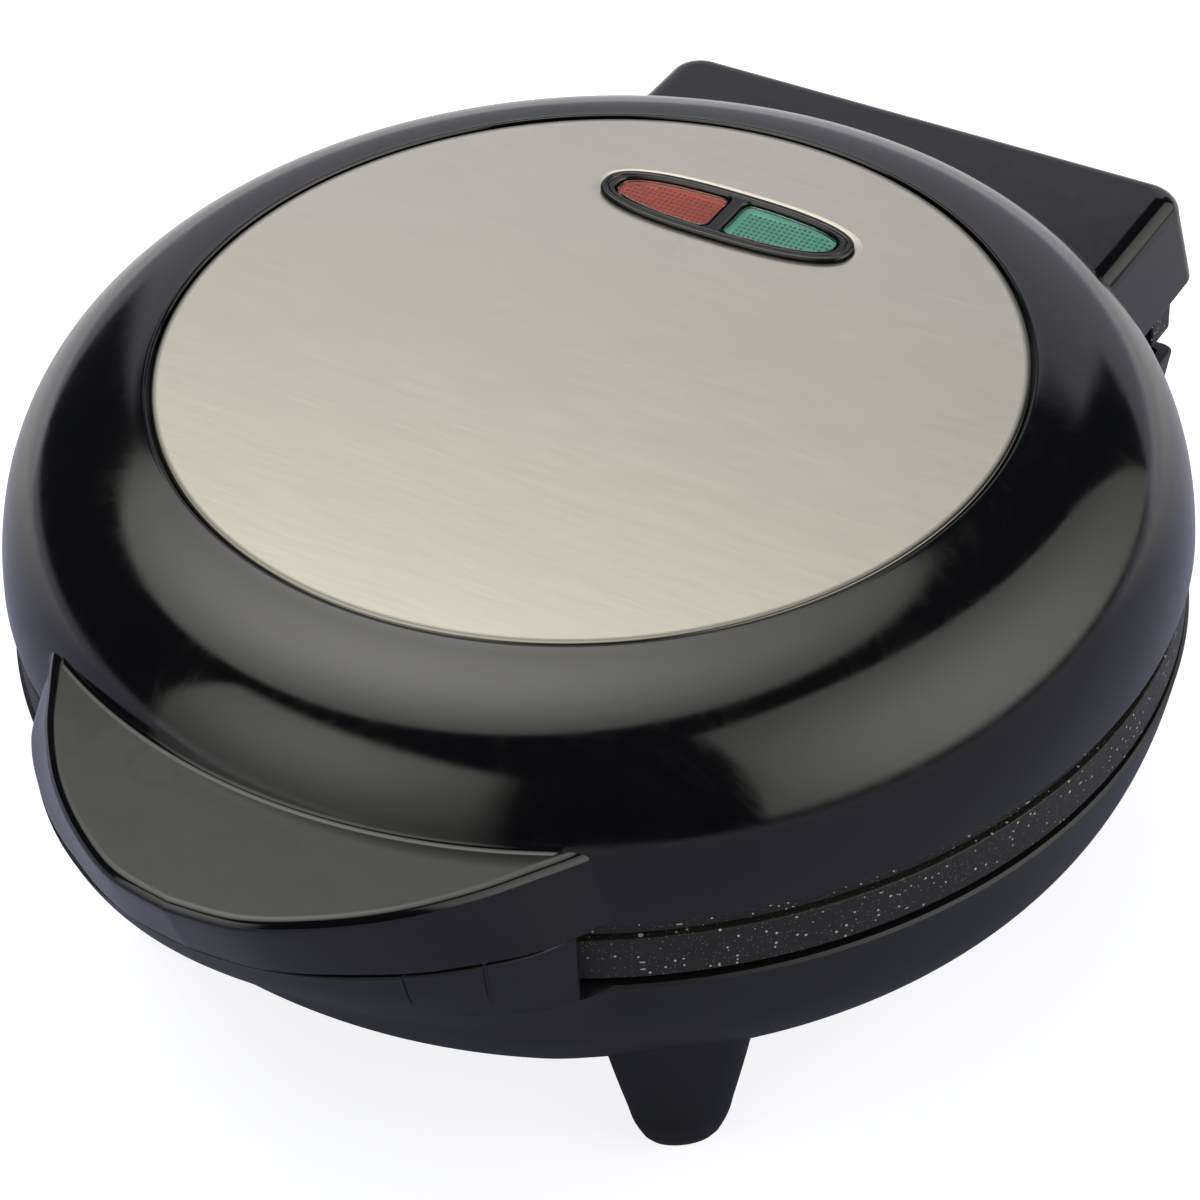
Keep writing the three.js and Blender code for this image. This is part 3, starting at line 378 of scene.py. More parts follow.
grip = loft("grip", grip_rings(0, GRIP_BOTTOM, GRIP_TOP))
grip_hollow = loft("grip_hollow", grip_rings(GRIP_WALL, GRIP_BOTTOM - 2, GRIP_TOP - GRIP_WALL))
dome_core = revolve("dome_core", [(0, 0), (BODY_R + GAP, 0), (BODY_R + GAP, DISC_TOP), (0, DISC_TOP)])
combine(grip_hollow, [dome_core], "DIFFERENCE")
describe(grip)

# %% [markdown]
# The hood is a box with drafted walls, round back corners and a rounded top edge. Its lower back
# edge is scooped away, so that it clears the housing when the lid swings up. A box with bevels
# would do for the rounding but not for the draft, so its outline is lofted and the scoop cut.

# %% Hood of the lid
HOOD_REACH = BODY_R + 26.7
HOOD_HALF = 58.4
HOOD_DRAFT = 2.7
HOOD_TOP = DISC_TOP - 24.9
HOOD_BOTTOM = LID_EDGE - 10.9
HOOD_CORNER = 6
HOOD_EDGE = 4.4
HOOD_WALL = 2.2


def box_outline(half, front, back, corner, steps=14):
    """Square at the front, which is hidden, and round at the two back corners."""
    turns = np.linspace(0, math.pi / 2, steps)
    right = [(half - corner + corner * math.cos(t), back - corner + corner * math.sin(t)) for t in turns]
    left = [(-x, y) for x, y in reversed(right)]
    return np.array([(half, front), *right, *left, (-half, front)])


def hood_ring(inset, share, z):
    outline = box_outline(
        HOOD_HALF - HOOD_DRAFT * share - inset,
        0.8 * BODY_R,
        HOOD_REACH - HOOD_DRAFT * share / 2 - inset,
        HOOD_CORNER - inset / 2,
    )
    return at_height(outline, z)


def side_block(name, points, x0, x1):
    """A solid with a side view of (y, z) points between two planes across X."""
    ring = [[(x, y, z) for y, z in points] for x in (x0, x1)]
    return loft(name, ring)


hood_straight = HOOD_TOP - HOOD_EDGE
hood = loft("hood", [
    hood_ring(0.4, 0, HOOD_BOTTOM),
    hood_ring(0.12, 0.02, HOOD_BOTTOM + 0.12),
    hood_ring(0, 0.04, HOOD_BOTTOM + 0.4),
    hood_ring(0, 0.5, (HOOD_BOTTOM + hood_straight) / 2),
    *[hood_ring(cut, 1, HOOD_TOP - drop) for cut, drop in quarter(HOOD_EDGE, 8)],
])
HOOD_FOOT = 6
foot_curve = [
    (HOOD_REACH - HOOD_FOOT * (1 - math.sin(t)), HOOD_BOTTOM + HOOD_FOOT * (1 - math.cos(t)))
    for t in np.linspace(0, math.pi / 2, 9)
]
hood_foot = side_block("hood_foot", [
    (HOOD_REACH - HOOD_FOOT, HOOD_BOTTOM - 2),
    *foot_curve,
    (HOOD_REACH + 2, HOOD_BOTTOM + HOOD_FOOT),
    (HOOD_REACH + 2, HOOD_BOTTOM - 2),
], -HOOD_HALF - 2, HOOD_HALF + 2)
band_room = revolve("band_room", [(0, 0), (BODY_R + GAP, 0), (BODY_R + GAP, LID_EDGE), (0, LID_EDGE)])
combine(hood, [hood_foot, band_room], "DIFFERENCE")
hood_hollow = loft("hood_hollow", [
    hood_ring(HOOD_WALL, 0, HOOD_BOTTOM - 2),
    hood_ring(HOOD_WALL, 1, HOOD_TOP - HOOD_WALL),
])
describe(hood)

# %% [markdown]
# Where the grip's flat top runs into the dome, the real moulding has a small hollow rounding. A
# bevel can't reach that crease, so the rounding is turned as a ring of its own, whose arc touches
# dome and grip, and only the part over the grip is kept.

# %% Fillet between dome and grip
def dome_radius(z):
    return float(np.interp(z, dome_path[::-1, 1], dome_path[::-1, 0]))


FILLET = 1.4
lean = math.atan((dome_radius(GRIP_TOP) - dome_radius(GRIP_TOP + FILLET)) / FILLET)
foot_r = dome_radius(GRIP_TOP) - FILLET * math.tan(lean) + FILLET / math.cos(lean)
fillet_arc = [
    (foot_r - FILLET * math.cos(t), GRIP_TOP + FILLET - FILLET * math.sin(t))
    for t in np.linspace(lean, math.pi / 2, 9)
]
fillet = revolve("fillet", [
    *fillet_arc,
    (foot_r, GRIP_TOP - 0.6),
    (dome_radius(GRIP_TOP) - 1.2, GRIP_TOP - 0.6),
    (fillet_arc[0][0] - 0.8, fillet_arc[0][1]),
])
grip_area = loft("grip_area", [
    at_height(crescent(GRIP_OVER, GRIP_EDGE + 0.1), GRIP_TOP + rise) for rise in (-1, FILLET + 1)
])
combine(fillet, [grip_area], "INTERSECT")
describe(fillet)

# %% [markdown]
# The lamp window is an oval that is fuller than an ellipse. The disc, the deck under it, the black
# bezel and both lenses all take their outline from the same oval, so they nest with even gaps.

# %% Window oval, then the finished lid cover
WINDOW_Y = DISC_R - 27.7
BEZEL_LONG = 25.4
BEZEL_WIDE = 7.3
FULLER = 0.78


def fuller(value):
    return math.copysign(abs(value) ** FULLER, value)


def oval_point(long, wide, turn):
    return (long * fuller(math.cos(turn)), WINDOW_Y + wide * fuller(math.sin(turn)))


def oval(inset, count=160):
    """The bezel's outline, moved in by the inset."""
    turns = np.linspace(0, 2 * math.pi, count, endpoint=False)
    return np.array([oval_point(BEZEL_LONG - inset, BEZEL_WIDE - inset, t) for t in turns])


def oval_solid(name, inset, low, high):
    return loft(name, [at_height(oval(inset), low), at_height(oval(inset), high)])


deck_window = oval_solid("deck_window", 1.2 - GAP, DECK_UNDER - 2, DISC_TOP + 2)
combine(lid_cover, [grip, hood, fillet], "UNION")
combine(lid_cover, [lid_hollow, hood_hollow, grip_hollow, deck_window], "DIFFERENCE")
soften(lid_cover, 30)
describe(lid_cover)

# %% [markdown]
# ## The steel disc
#
# The disc is a thin pressed sheet. Its rim is folded down over the lid with a soft bevel, and the
# sheet is dished a little round the lamp window. The darker ring at the rim is painted shade in
# the steel's colour. Both edges are turned or lofted with real rounding, because they are what
# shows that it is metal.

# %% Disc with its folded rim and dished window edge
rim_bend = [
    (DISC_R - 0.8, DISC_TOP),
    (DISC_R - 0.58, DISC_TOP - 0.03),
    (DISC_R - 0.36, DISC_TOP - 0.11),
    (DISC_R - 0.16, DISC_TOP - 0.26),
    (DISC_R - 0.04, DISC_TOP - 0.45),
    (DISC_R, DISC_TOP - 0.7),
]
brushed_disc = revolve("brushed_disc", [
    (0, DISC_TOP),
    *rim_bend,
    (DISC_R, DISC_TOP - 2.1),
    (DISC_R - 0.6, DISC_TOP - 2.1),
    (DISC_R - 0.6, DISC_TOP - 0.8),
    (0, DISC_TOP - 0.8),
], 320)
dish = loft("dish", [
    at_height(oval(1.6), DISC_TOP - 0.22),
    at_height(oval(0.2), DISC_TOP - 0.2),
    at_height(oval(-0.3), DISC_TOP - 0.15),
    at_height(oval(-0.9), DISC_TOP - 0.07),
    at_height(oval(-1.5), DISC_TOP - 0.015),
    at_height(oval(-1.9), DISC_TOP + 0.02),
    at_height(oval(-1.9), DISC_TOP + 1),
])
combine(brushed_disc, [dish], "DIFFERENCE")
combine(brushed_disc, [oval_solid("disc_window", 1.2 - GAP, DISC_TOP - 4, DISC_TOP + 4)], "DIFFERENCE")
soften(brushed_disc, 40)
describe(brushed_disc)

# %% [markdown]
# ## The lamp window
#
# A black bezel with two steps holds a red and a green lens, each half of the oval. The bezel is
# lofted through insets of the oval, and its two openings are cut with a tool whose mouth flares,
# so that the edges come out round without a bevel afterwards.

# %% Half ovals and the bezel
BAR_HALF = 1.3
SKIRT_IN = 1.2
WINDOW_LONG = BEZEL_LONG - SKIRT_IN - 1.7
WINDOW_WIDE = BEZEL_WIDE - SKIRT_IN - 0.8
WINDOW_CORNER = 1.6


def half_oval(inset, side, count=96):
    """The window beside the middle bar, moved in by the inset; side is 1 or -1."""
    long, wide, bar = WINDOW_LONG - inset, WINDOW_WIDE - inset, BAR_HALF + inset
    limit = math.acos(((bar + WINDOW_CORNER) / long) ** (1 / FULLER))
    turns = np.linspace(-limit, limit, count)
    edge = [oval_point(long, wide, t) for t in turns]
    top = edge[-1]
    reach = top[1] - WINDOW_Y
    corner = [
        (top[0] - WINDOW_CORNER * math.sin(t), reach - WINDOW_CORNER * (1 - math.cos(t)))
        for t in np.linspace(0, math.pi / 2, 8)[1:]
    ]
    edge += [(x, WINDOW_Y + y) for x, y in corner]
    edge += [(x, WINDOW_Y - y) for x, y in reversed(corner)]
    points = np.array(edge) * (side, 1)
    return points if side > 0 else points[::-1]


bezel_rings = [(SKIRT_IN, BEZEL_TOP - 9.4), (SKIRT_IN, DISC_TOP + GAP), (0, DISC_TOP + GAP)]
bezel_rings += [(cut, BEZEL_TOP - drop) for cut, drop in quarter(0.42, 5)[1:]]
bezel_rings += [(1.0, BEZEL_TOP), (1.2, BEZEL_TOP - 0.08), (1.32, BEZEL_TOP - 0.3)]
bezel_rings += [(1.45, BEZEL_TOP - 0.34), (1.6, BEZEL_TOP - 0.16), (1.75, BEZEL_TOP - 0.1)]
lamp_frame = loft("lamp_frame", [at_height(oval(inset), z) for inset, z in bezel_rings])
for side in (1, -1):
    mouth = [(0, BEZEL_TOP - 12), (0, BEZEL_TOP - 0.6), (-0.12, BEZEL_TOP - 0.3), (-0.4, BEZEL_TOP + 0.1)]
    opening = loft("opening", [at_height(half_oval(inset, side), z) for inset, z in mouth])
    combine(lamp_frame, [opening], "DIFFERENCE")
soften(lamp_frame, 40)
describe(lamp_frame)

# %% [markdown]
# A lens of this kind is smooth outside and has rows of small pyramids inside, which scatter the
# lamp's light. The clear skin is lofted. The pyramids repeat by the hundred, so Geometry Nodes
# lay them out: a grid of points, those outside the window's outline dropped, a four-sided cone
# on each. The same tree serves both lenses with other inputs.

# %% A tree of pyramids
def tree_with(name, inputs):
    """An empty Geometry Nodes tree with named inputs: (name, socket type, default)."""
    tree = bpy.data.node_groups.new(name, "GeometryNodeTree")
    for label, kind, value in inputs:
        socket = tree.interface.new_socket(label, in_out="INPUT", socket_type=kind)
        if value is not None:
            socket.default_value = value
    tree.interface.new_socket("Mesh", in_out="OUTPUT", socket_type="NodeSocketGeometry")
    start, end = tree.nodes.new("NodeGroupInput"), tree.nodes.new("NodeGroupOutput")
    return tree, start, end


def add(tree, kind, links=None, **settings):
    """A node with its settings; links maps an input's name or number to a value or a socket."""
    node = tree.nodes.new(kind)
    for key, value in settings.items():
        setattr(node, key, value)
    for key, value in (links or {}).items():
        socket = node.inputs[key]
        if isinstance(value, bpy.types.NodeSocket):
            tree.links.new(value, socket)
        else:
            socket.default_value = value
    return node


def run_tree(name, tree, values, carrier=None):
    """A plain mesh object made by the tree with these input values."""
    mesh = carrier or bpy.data.meshes.new(name)
    piece = bpy.data.objects.new(name, mesh)
    bpy.context.scene.collection.objects.link(piece)
    step = piece.modifiers.new("tree", "NODES")
    step.node_group = tree
    for item in tree.interface.items_tree:
        if item.in_out == "INPUT" and item.name in values:
            step[item.identifier] = values[item.name]
    return keep_result(piece)


pyramid_tree, start, end = tree_with("pyramid_rows", [
    ("Pitch", "NodeSocketFloat", 0.001),
    ("Height", "NodeSocketFloat", 0.0005),
    ("Fill", "NodeSocketFloat", 0.4),
    ("Columns", "NodeSocketInt", 20),
    ("Rows", "NodeSocketInt", 9),
    ("Middle", "NodeSocketVector", (0, 0, 0)),
    ("Outline", "NodeSocketObject", None),
    ("Material", "NodeSocketMaterial", None),
])
size_x = add(pyramid_tree, "ShaderNodeMath", {
    0: start.outputs["Pitch"], 1: start.outputs["Columns"],
}, operation="MULTIPLY")
size_y = add(pyramid_tree, "ShaderNodeMath", {
    0: start.outputs["Pitch"], 1: start.outputs["Rows"],
}, operation="MULTIPLY")
grid = add(pyramid_tree, "GeometryNodeMeshGrid", {
    "Size X": size_x.outputs[0],
    "Size Y": size_y.outputs[0],
    "Vertices X": start.outputs["Columns"],
    "Vertices Y": start.outputs["Rows"],
})
moved = add(pyramid_tree, "GeometryNodeTransform", {
    "Geometry": grid.outputs["Mesh"], "Translation": start.outputs["Middle"],
})
points = add(pyramid_tree, "GeometryNodeMeshToPoints", {"Mesh": moved.outputs["Geometry"]})
plate = add(pyramid_tree, "GeometryNodeObjectInfo", {"Object": start.outputs["Outline"]})
down = add(pyramid_tree, "GeometryNodeRaycast", {
    "Target Geometry": plate.outputs["Geometry"],
    "Ray Direction": (0, 0, -1),
    "Ray Length": 0.01,
})
missed = add(pyramid_tree, "FunctionNodeBooleanMath", {0: down.outputs["Is Hit"]}, operation="NOT")
inside = add(pyramid_tree, "GeometryNodeDeleteGeometry", {
    "Geometry": points.outputs["Points"], "Selection": missed.outputs[0],
})
half_pitch = add(pyramid_tree, "ShaderNodeMath", {
    0: start.outputs["Pitch"], 1: start.outputs["Fill"],
}, operation="MULTIPLY")
cone = add(pyramid_tree, "GeometryNodeMeshCone", {
    "Vertices": 4,
    "Radius Top": 0.0,
    "Radius Bottom": half_pitch.outputs[0],
    "Depth": start.outputs["Height"],
})
placed = add(pyramid_tree, "GeometryNodeInstanceOnPoints", {
    "Points": inside.outputs["Geometry"],
    "Instance": cone.outputs["Mesh"],
    "Rotation": (0, 0, math.pi / 4),
})
real = add(pyramid_tree, "GeometryNodeRealizeInstances", {"Geometry": placed.outputs["Instances"]})
painted = add(pyramid_tree, "GeometryNodeSetMaterial", {
    "Geometry": real.outputs["Geometry"], "Material": start.outputs["Material"],
})
pyramid_tree.links.new(painted.outputs["Geometry"], end.inputs["Mesh"])
print("pyramid tree has", len(pyramid_tree.nodes), "nodes")

# %% [markdown]
# ## Shared effects in the materials
#
# Three effects turn up in more than one finish, so each is a node group with named inputs and
# outputs: a fine moulded grain, soft smudges that change how glossy a skin is, and streaks that
# run one way, as brushing leaves them. A group only gives numbers and colours. The shader stays
# in the material itself.

# %% Node group helpers and the grain
def effect_group(name, inputs, outputs):
    group = bpy.data.node_groups.new(name, "ShaderNodeTree")
    for label, kind, value in inputs:
        socket = group.interface.new_socket(label, in_out="INPUT", socket_type=kind)
        if value is not None:
            socket.default_value = value
    for label, kind in outputs:
        group.interface.new_socket(label, in_out="OUTPUT", socket_type=kind)
    return group, group.nodes.new("NodeGroupInput"), group.nodes.new("NodeGroupOutput")


FLOAT, VECTOR = "NodeSocketFloat", "NodeSocketVector"

grain, g_in, g_out = effect_group(
    "moulded_grain",
    [("Vector", VECTOR, None), ("Size", FLOAT, 0.0004), ("Unevenness", FLOAT, 0.5)],
    [("Height", FLOAT), ("Mask", FLOAT)],
)
count = add(grain, "ShaderNodeMath", {0: 1.0, 1: g_in.outputs["Size"]}, operation="DIVIDE")
fine = add(grain, "ShaderNodeTexNoise", {
    "Vector": g_in.outputs["Vector"], "Scale": count.outputs[0], "Detail": 3.0, "Roughness": 0.6,
})
cloud = add(grain, "ShaderNodeTexNoise", {"Vector": g_in.outputs["Vector"], "Scale": 38.0, "Detail": 4.0})
mix = add(grain, "ShaderNodeMath", {
    0: cloud.outputs["Fac"], 1: g_in.outputs["Unevenness"],
}, operation="MULTIPLY")
grain.links.new(fine.outputs["Fac"], g_out.inputs["Height"])
grain.links.new(mix.outputs[0], g_out.inputs["Mask"])

smudge, s_in, s_out = effect_group(
    "finger_smudges",
    [("Vector", VECTOR, None), ("Size", FLOAT, 0.02), ("Amount", FLOAT, 0.5)],
    [("Mask", FLOAT)],
)
count = add(smudge, "ShaderNodeMath", {0: 1.0, 1: s_in.outputs["Size"]}, operation="DIVIDE")
warp = add(smudge, "ShaderNodeTexNoise", {
    "Vector": s_in.outputs["Vector"], "Scale": count.outputs[0], "Detail": 2.0, "Distortion": 1.6,
})
lanes = add(smudge, "ShaderNodeTexNoise", {
    "Vector": warp.outputs["Color"], "Scale": 5.0, "Detail": 5.0, "Roughness": 0.62,
})
range_ = add(smudge, "ShaderNodeMapRange", {
    "Value": lanes.outputs["Fac"], "From Min": 0.45, "From Max": 0.72,
})
scaled = add(smudge, "ShaderNodeMath", {
    0: range_.outputs["Result"], 1: s_in.outputs["Amount"],
}, operation="MULTIPLY")
smudge.links.new(scaled.outputs[0], s_out.inputs["Mask"])

streak, k_in, k_out = effect_group(
    "brushed_streaks",
    [("Vector", VECTOR, None), ("Length", FLOAT, 0.03), ("Width", FLOAT, 0.00025)],
    [("Height", FLOAT), ("Mask", FLOAT)],
)
along = add(streak, "ShaderNodeMath", {0: 1.0, 1: k_in.outputs["Length"]}, operation="DIVIDE")
across = add(streak, "ShaderNodeMath", {0: 1.0, 1: k_in.outputs["Width"]}, operation="DIVIDE")
wide = add(streak, "ShaderNodeMath", {0: across.outputs[0], 1: 0.13}, operation="MULTIPLY")
scale = add(streak, "ShaderNodeCombineXYZ", {0: along.outputs[0], 1: across.outputs[0], 2: across.outputs[0]})
scale_wide = add(streak, "ShaderNodeCombineXYZ", {
    0: along.outputs[0], 1: wide.outputs[0], 2: wide.outputs[0],
})
run = add(streak, "ShaderNodeVectorMath", {
    0: k_in.outputs["Vector"], 1: scale.outputs[0],
}, operation="MULTIPLY")
run_wide = add(streak, "ShaderNodeVectorMath", {
    0: k_in.outputs["Vector"], 1: scale_wide.outputs[0],
}, operation="MULTIPLY")
hair = add(streak, "ShaderNodeTexNoise", {
    "Vector": run.outputs[0], "Scale": 1.0, "Detail": 3.0, "Roughness": 0.7,
})
band = add(streak, "ShaderNodeTexNoise", {
    "Vector": run_wide.outputs[0], "Scale": 1.0, "Detail": 4.0, "Roughness": 0.55,
})
streak.links.new(hair.outputs["Fac"], k_out.inputs["Height"])
streak.links.new(band.outputs["Fac"], k_out.inputs["Mask"])
print("effects:", [g.name for g in (grain, smudge, streak)])

# %% [markdown]
# ## The finishes
#
# Each finish is a Principled shader. Numbers that are the same all over the surface are set on
# its own sockets, and only what changes over the surface is wired in. Patterns read Object
# coordinates, which are the frame's metres, so a grain of 0.4 mm is written as 0.0004.

# %% Helpers for a material
def finish(name, **sockets):
    """A material with a Principled shader, its constants set, and its Object coordinates."""
    made = bpy.data.materials.new(name)
    made.use_nodes = True
    tree = made.node_tree
    shader = tree.nodes["Principled BSDF"]
    for label, value in sockets.items():
        socket = shader.inputs[label.replace("_", " ")]
        socket.default_value = (*value, 1) if isinstance(value, tuple) else value
    place = add(tree, "ShaderNodeTexCoord").outputs["Object"]
    return made, tree, shader, place


def effect(tree, group, **values):
    node = tree.nodes.new("ShaderNodeGroup")
    node.node_tree = group
    for label, value in values.items():
        if isinstance(value, bpy.types.NodeSocket):
            tree.links.new(value, node.inputs[label])
        else:
            node.inputs[label].default_value = value
    return node


def spread(tree, value, low, high, start=0.0, stop=1.0):
    """A value between start and stop stretched to low and high."""
    return add(tree, "ShaderNodeMapRange", {
        "Value": value, "From Min": start, "From Max": stop, "To Min": low, "To Max": high,
    }).outputs["Result"]


def bump(tree, shader, height, depth, strength=1.0):
    node = add(tree, "ShaderNodeBump", {"Height": height, "Distance": depth, "Strength": strength})
    tree.links.new(node.outputs["Normal"], shader.inputs["Normal"])
    return node


def blend_colour(tree, mask, low, high):
    """Low where the mask is 0 and high where it is 1; low is a colour or a socket."""
    low = low if isinstance(low, bpy.types.NodeSocket) else (*low, 1)
    node = add(tree, "ShaderNodeMix", {0: mask, 6: low, 7: (*high, 1)}, data_type="RGBA")
    return node.outputs[2]


print("material helpers ready")

# %% [markdown]
# The lid is polished black moulding. Nearly all that shows of it is reflection, so its own colour
# is almost nothing, and the smudges and a faint ripple break up the mirror. A few specks of dust
# come from the points of Voronoi cells.

# %% Gloss black of the lid
lid_black, tree, shader, place = finish(
    "lid_gloss_black", Base_Color=(0.0018, 0.0019, 0.0024), IOR=1.5,
)
marks = effect(tree, smudge, Vector=place, Size=0.03, Amount=1.0)
tree.links.new(spread(tree, marks.outputs["Mask"], 0.09, 0.17), shader.inputs["Roughness"])
dust = add(tree, "ShaderNodeTexVoronoi", {"Vector": place, "Scale": 160.0, "Randomness": 1.0})
speck = spread(tree, dust.outputs["Distance"], 1.0, 0.0, 0.012, 0.03)
dusty = blend_colour(tree, speck, (0.0018, 0.0019, 0.0024), (0.02, 0.02, 0.02))
tree.links.new(dusty, shader.inputs["Base Color"])
ripple = add(tree, "ShaderNodeTexNoise", {"Vector": place, "Scale": 55.0, "Detail": 2.0})
bump(tree, shader, ripple.outputs["Fac"], 0.00003, 0.3)
print("lid black has", len(tree.nodes), "nodes")

# %% [markdown]
# Base and bezel are moulded in a duller black. The moulded grain gives both the soft sheen: it
# bends the light a little, and its slow patches change the roughness. Finer grain and a lower
# roughness make the bezel the glossier of the two.

# %% Satin black of the base and the bezel
def grained(tree, shader, place, size, rough, depth, strength):
    """The shared grain wired to the roughness, between two values, and to the bump."""
    skin = effect(tree, grain, Vector=place, Size=size, Unevenness=1.0)
    tree.links.new(spread(tree, skin.outputs["Mask"], *rough), shader.inputs["Roughness"])
    bump(tree, shader, skin.outputs["Height"], depth, strength)


base_black, tree, shader, place = finish(
    "base_satin_black", Base_Color=(0.004, 0.0043, 0.0056), IOR=1.44,
)
grained(tree, shader, place, 0.00035, (0.34, 0.44), 0.000015, 0.35)

bezel_black, tree, shader, place = finish(
    "bezel_satin_black", Base_Color=(0.006, 0.006, 0.007), IOR=1.5,
)
grained(tree, shader, place, 0.0002, (0.16, 0.26), 0.000006, 0.3)
print("satin blacks ready")

# %% [markdown]
# The sheet is brushed in one direction, along X. Brushing spreads a reflection across its lines,
# which the shader's anisotropy does when its tangent follows a UV map laid across the brushing.
# The streaks themselves only vary the colour and, very little, the roughness. The folded rim is
# darker, by the distance from the axis: painted shade, where the rim turns down beside the black
# ring.

# %% Brushed steel of the disc
steel, tree, shader, place = finish(
    "brushed_steel", Base_Color=(0.61, 0.58, 0.52), Metallic=1.0, Anisotropic=0.8, Roughness=0.2,
)
lines = effect(tree, streak, Vector=place, Length=0.014, Width=0.00018)
tone = spread(tree, lines.outputs["Height"], 0.0, 1.0, 0.3, 0.7)
tint = blend_colour(tree, tone, (0.58, 0.55, 0.49), (0.63, 0.6, 0.535))
from_axis = add(tree, "ShaderNodeVectorMath", {
    0: place, 1: (0, -AXIS_Y * MM, 0),
}, operation="ADD").outputs[0]
flat = add(tree, "ShaderNodeVectorMath", {0: from_axis, 1: (1, 1, 0)}, operation="MULTIPLY").outputs[0]
radius = add(tree, "ShaderNodeVectorMath", {0: flat}, operation="LENGTH").outputs["Value"]
# Painted shade: the steel's colour darkens to a dull grey over the last millimetre before the rim.
rim = spread(tree, radius, 0.0, 1.0, (DISC_R - 1.5) * MM, (DISC_R - 0.65) * MM)
tree.links.new(blend_colour(tree, rim, tint, (0.13, 0.125, 0.11)), shader.inputs["Base Color"])
tree.links.new(spread(tree, lines.outputs["Mask"], 0.2, 0.212, 0.3, 0.7), shader.inputs["Roughness"])
tangent = add(tree, "ShaderNodeTangent", direction_type="UV_MAP", uv_map="across_the_brushing")
tree.links.new(tangent.outputs["Tangent"], shader.inputs["Tangent"])
print("steel has", len(tree.nodes), "nodes")

# %% [markdown]
# The non-stick coating is dark with pale specks: many fine dots, fewer large ones and some long
# flakes. Voronoi cells give each dot its own place, and the distance to the cell's point, held
# against a random size for each cell, decides how large the dot is.

# %% Speckled coating of the plates
coating, tree, shader, place = finish("speckled_coating", Base_Color=(0.012, 0.012, 0.011), IOR=1.42)


def dots(tree, place, scale, least, most, share, stretch=None):
    """A mask of dots whose sizes vary; share is how many of the cells hold one."""
    vector = place
    if stretch:
        vector = add(tree, "ShaderNodeVectorMath", {0: place, 1: stretch}, operation="MULTIPLY").outputs[0]
    cells = add(tree, "ShaderNodeTexVoronoi", {"Vector": vector, "Scale": scale, "Randomness": 1.0})
    parts = add(tree, "ShaderNodeSeparateColor", {0: cells.outputs["Color"]})
    size = spread(tree, parts.outputs[0], least, most)
    near = add(tree, "ShaderNodeMath", {0: size, 1: cells.outputs["Distance"]}, operation="SUBTRACT")
    soft = spread(tree, near.outputs[0], 0.0, 1.0, 0.0, least * 0.6)
    chosen = add(tree, "ShaderNodeMath", {0: parts.outputs[1], 1: share}, operation="LESS_THAN")
    return add(tree, "ShaderNodeMath", {0: soft, 1: chosen.outputs[0]}, operation="MULTIPLY").outputs[0]


fine_dots = dots(tree, place, 1800.0, 0.14, 0.38, 0.7)
large_dots = dots(tree, place, 900.0, 0.06, 0.25, 0.6)
flakes = dots(tree, place, 420.0, 0.05, 0.15, 0.3, (0.6, 0.6, 2.0))
both = add(tree, "ShaderNodeMath", {0: large_dots, 1: flakes}, operation="MAXIMUM").outputs[0]
dull = blend_colour(tree, fine_dots, (0.011, 0.011, 0.0098), (0.075, 0.073, 0.066))
tree.links.new(blend_colour(tree, both, dull, (0.42, 0.42, 0.4)), shader.inputs["Base Color"])
grained(tree, shader, place, 0.0006, (0.4, 0.55), 0.00003, 0.5)
print("coating has", len(tree.nodes), "nodes")

# %% [markdown]
# A lens needs three finishes: a clear tinted skin, a paler body that scatters the light, and a
# deep tone on the pyramids. That tone is painted shade: the pyramids look dark because they send
# the light sideways. One function makes the set, and red and green differ only in their colours.

# %% Clear and scattering plastic of the lenses
def lens_finishes(name, clear, pale, deep):
    skin_made, tree, shader, place = finish(
        name + "_clear", Base_Color=clear, IOR=1.45, Transmission_Weight=1.0, Roughness=0.02,
    )
    wave = add(tree, "ShaderNodeTexNoise", {"Vector": place, "Scale": 90.0, "Detail": 1.0})
    bump(tree, shader, wave.outputs["Fac"], 0.00005, 0.2)
    core_made, tree, shader, place = finish(name + "_core", Base_Color=pale, IOR=1.49, Roughness=0.25)
    patch = add(tree, "ShaderNodeTexNoise", {"Vector": place, "Scale": 110.0, "Detail": 2.0})
    mask = spread(tree, patch.outputs["Fac"], 0.0, 1.0, 0.3, 0.75)
    darker = tuple(value * 0.8 for value in pale)
    tree.links.new(blend_colour(tree, mask, darker, pale), shader.inputs["Base Color"])
    # Painted shade: the pyramids get a dark colour for the light they send sideways.
    pit_painted_shade_made, tree, shader, place = finish(name + "_pit_painted_shade", Base_Color=deep, IOR=1.49, Roughness=0.2)
    patch = add(tree, "ShaderNodeTexNoise", {"Vector": place, "Scale": 300.0, "Detail": 1.0})
    tree.links.new(spread(tree, patch.outputs["Fac"], 0.15, 0.3), shader.inputs["Roughness"])
    return skin_made, core_made, pit_painted_shade_made


# The last colour of each set is the pyramids' painted shade.
red_finishes = lens_finishes("red_lens", (0.98, 0.56, 0.42), (0.56, 0.12, 0.06), (0.17, 0.015, 0.008))
green_finishes = lens_finishes("green_lens", (0.62, 0.95, 0.86), (0.2, 0.52, 0.42), (0.006, 0.075, 0.056))
print("lens finishes ready")

# %% [markdown]
# Inside are plated steel, the heated sheath of the elements, rolled sheet and pale ceramic. They
# are seen only when someone takes the part apart, so each is a plain shader with one pattern.

# %% Metals and ceramic of the inner pieces
zinc, tree, shader, place = finish("zinc_plated", Base_Color=(0.52, 0.52, 0.53), Metallic=1.0)
grained(tree, shader, place, 0.0005, (0.25, 0.5), 0.00001, 0.5)

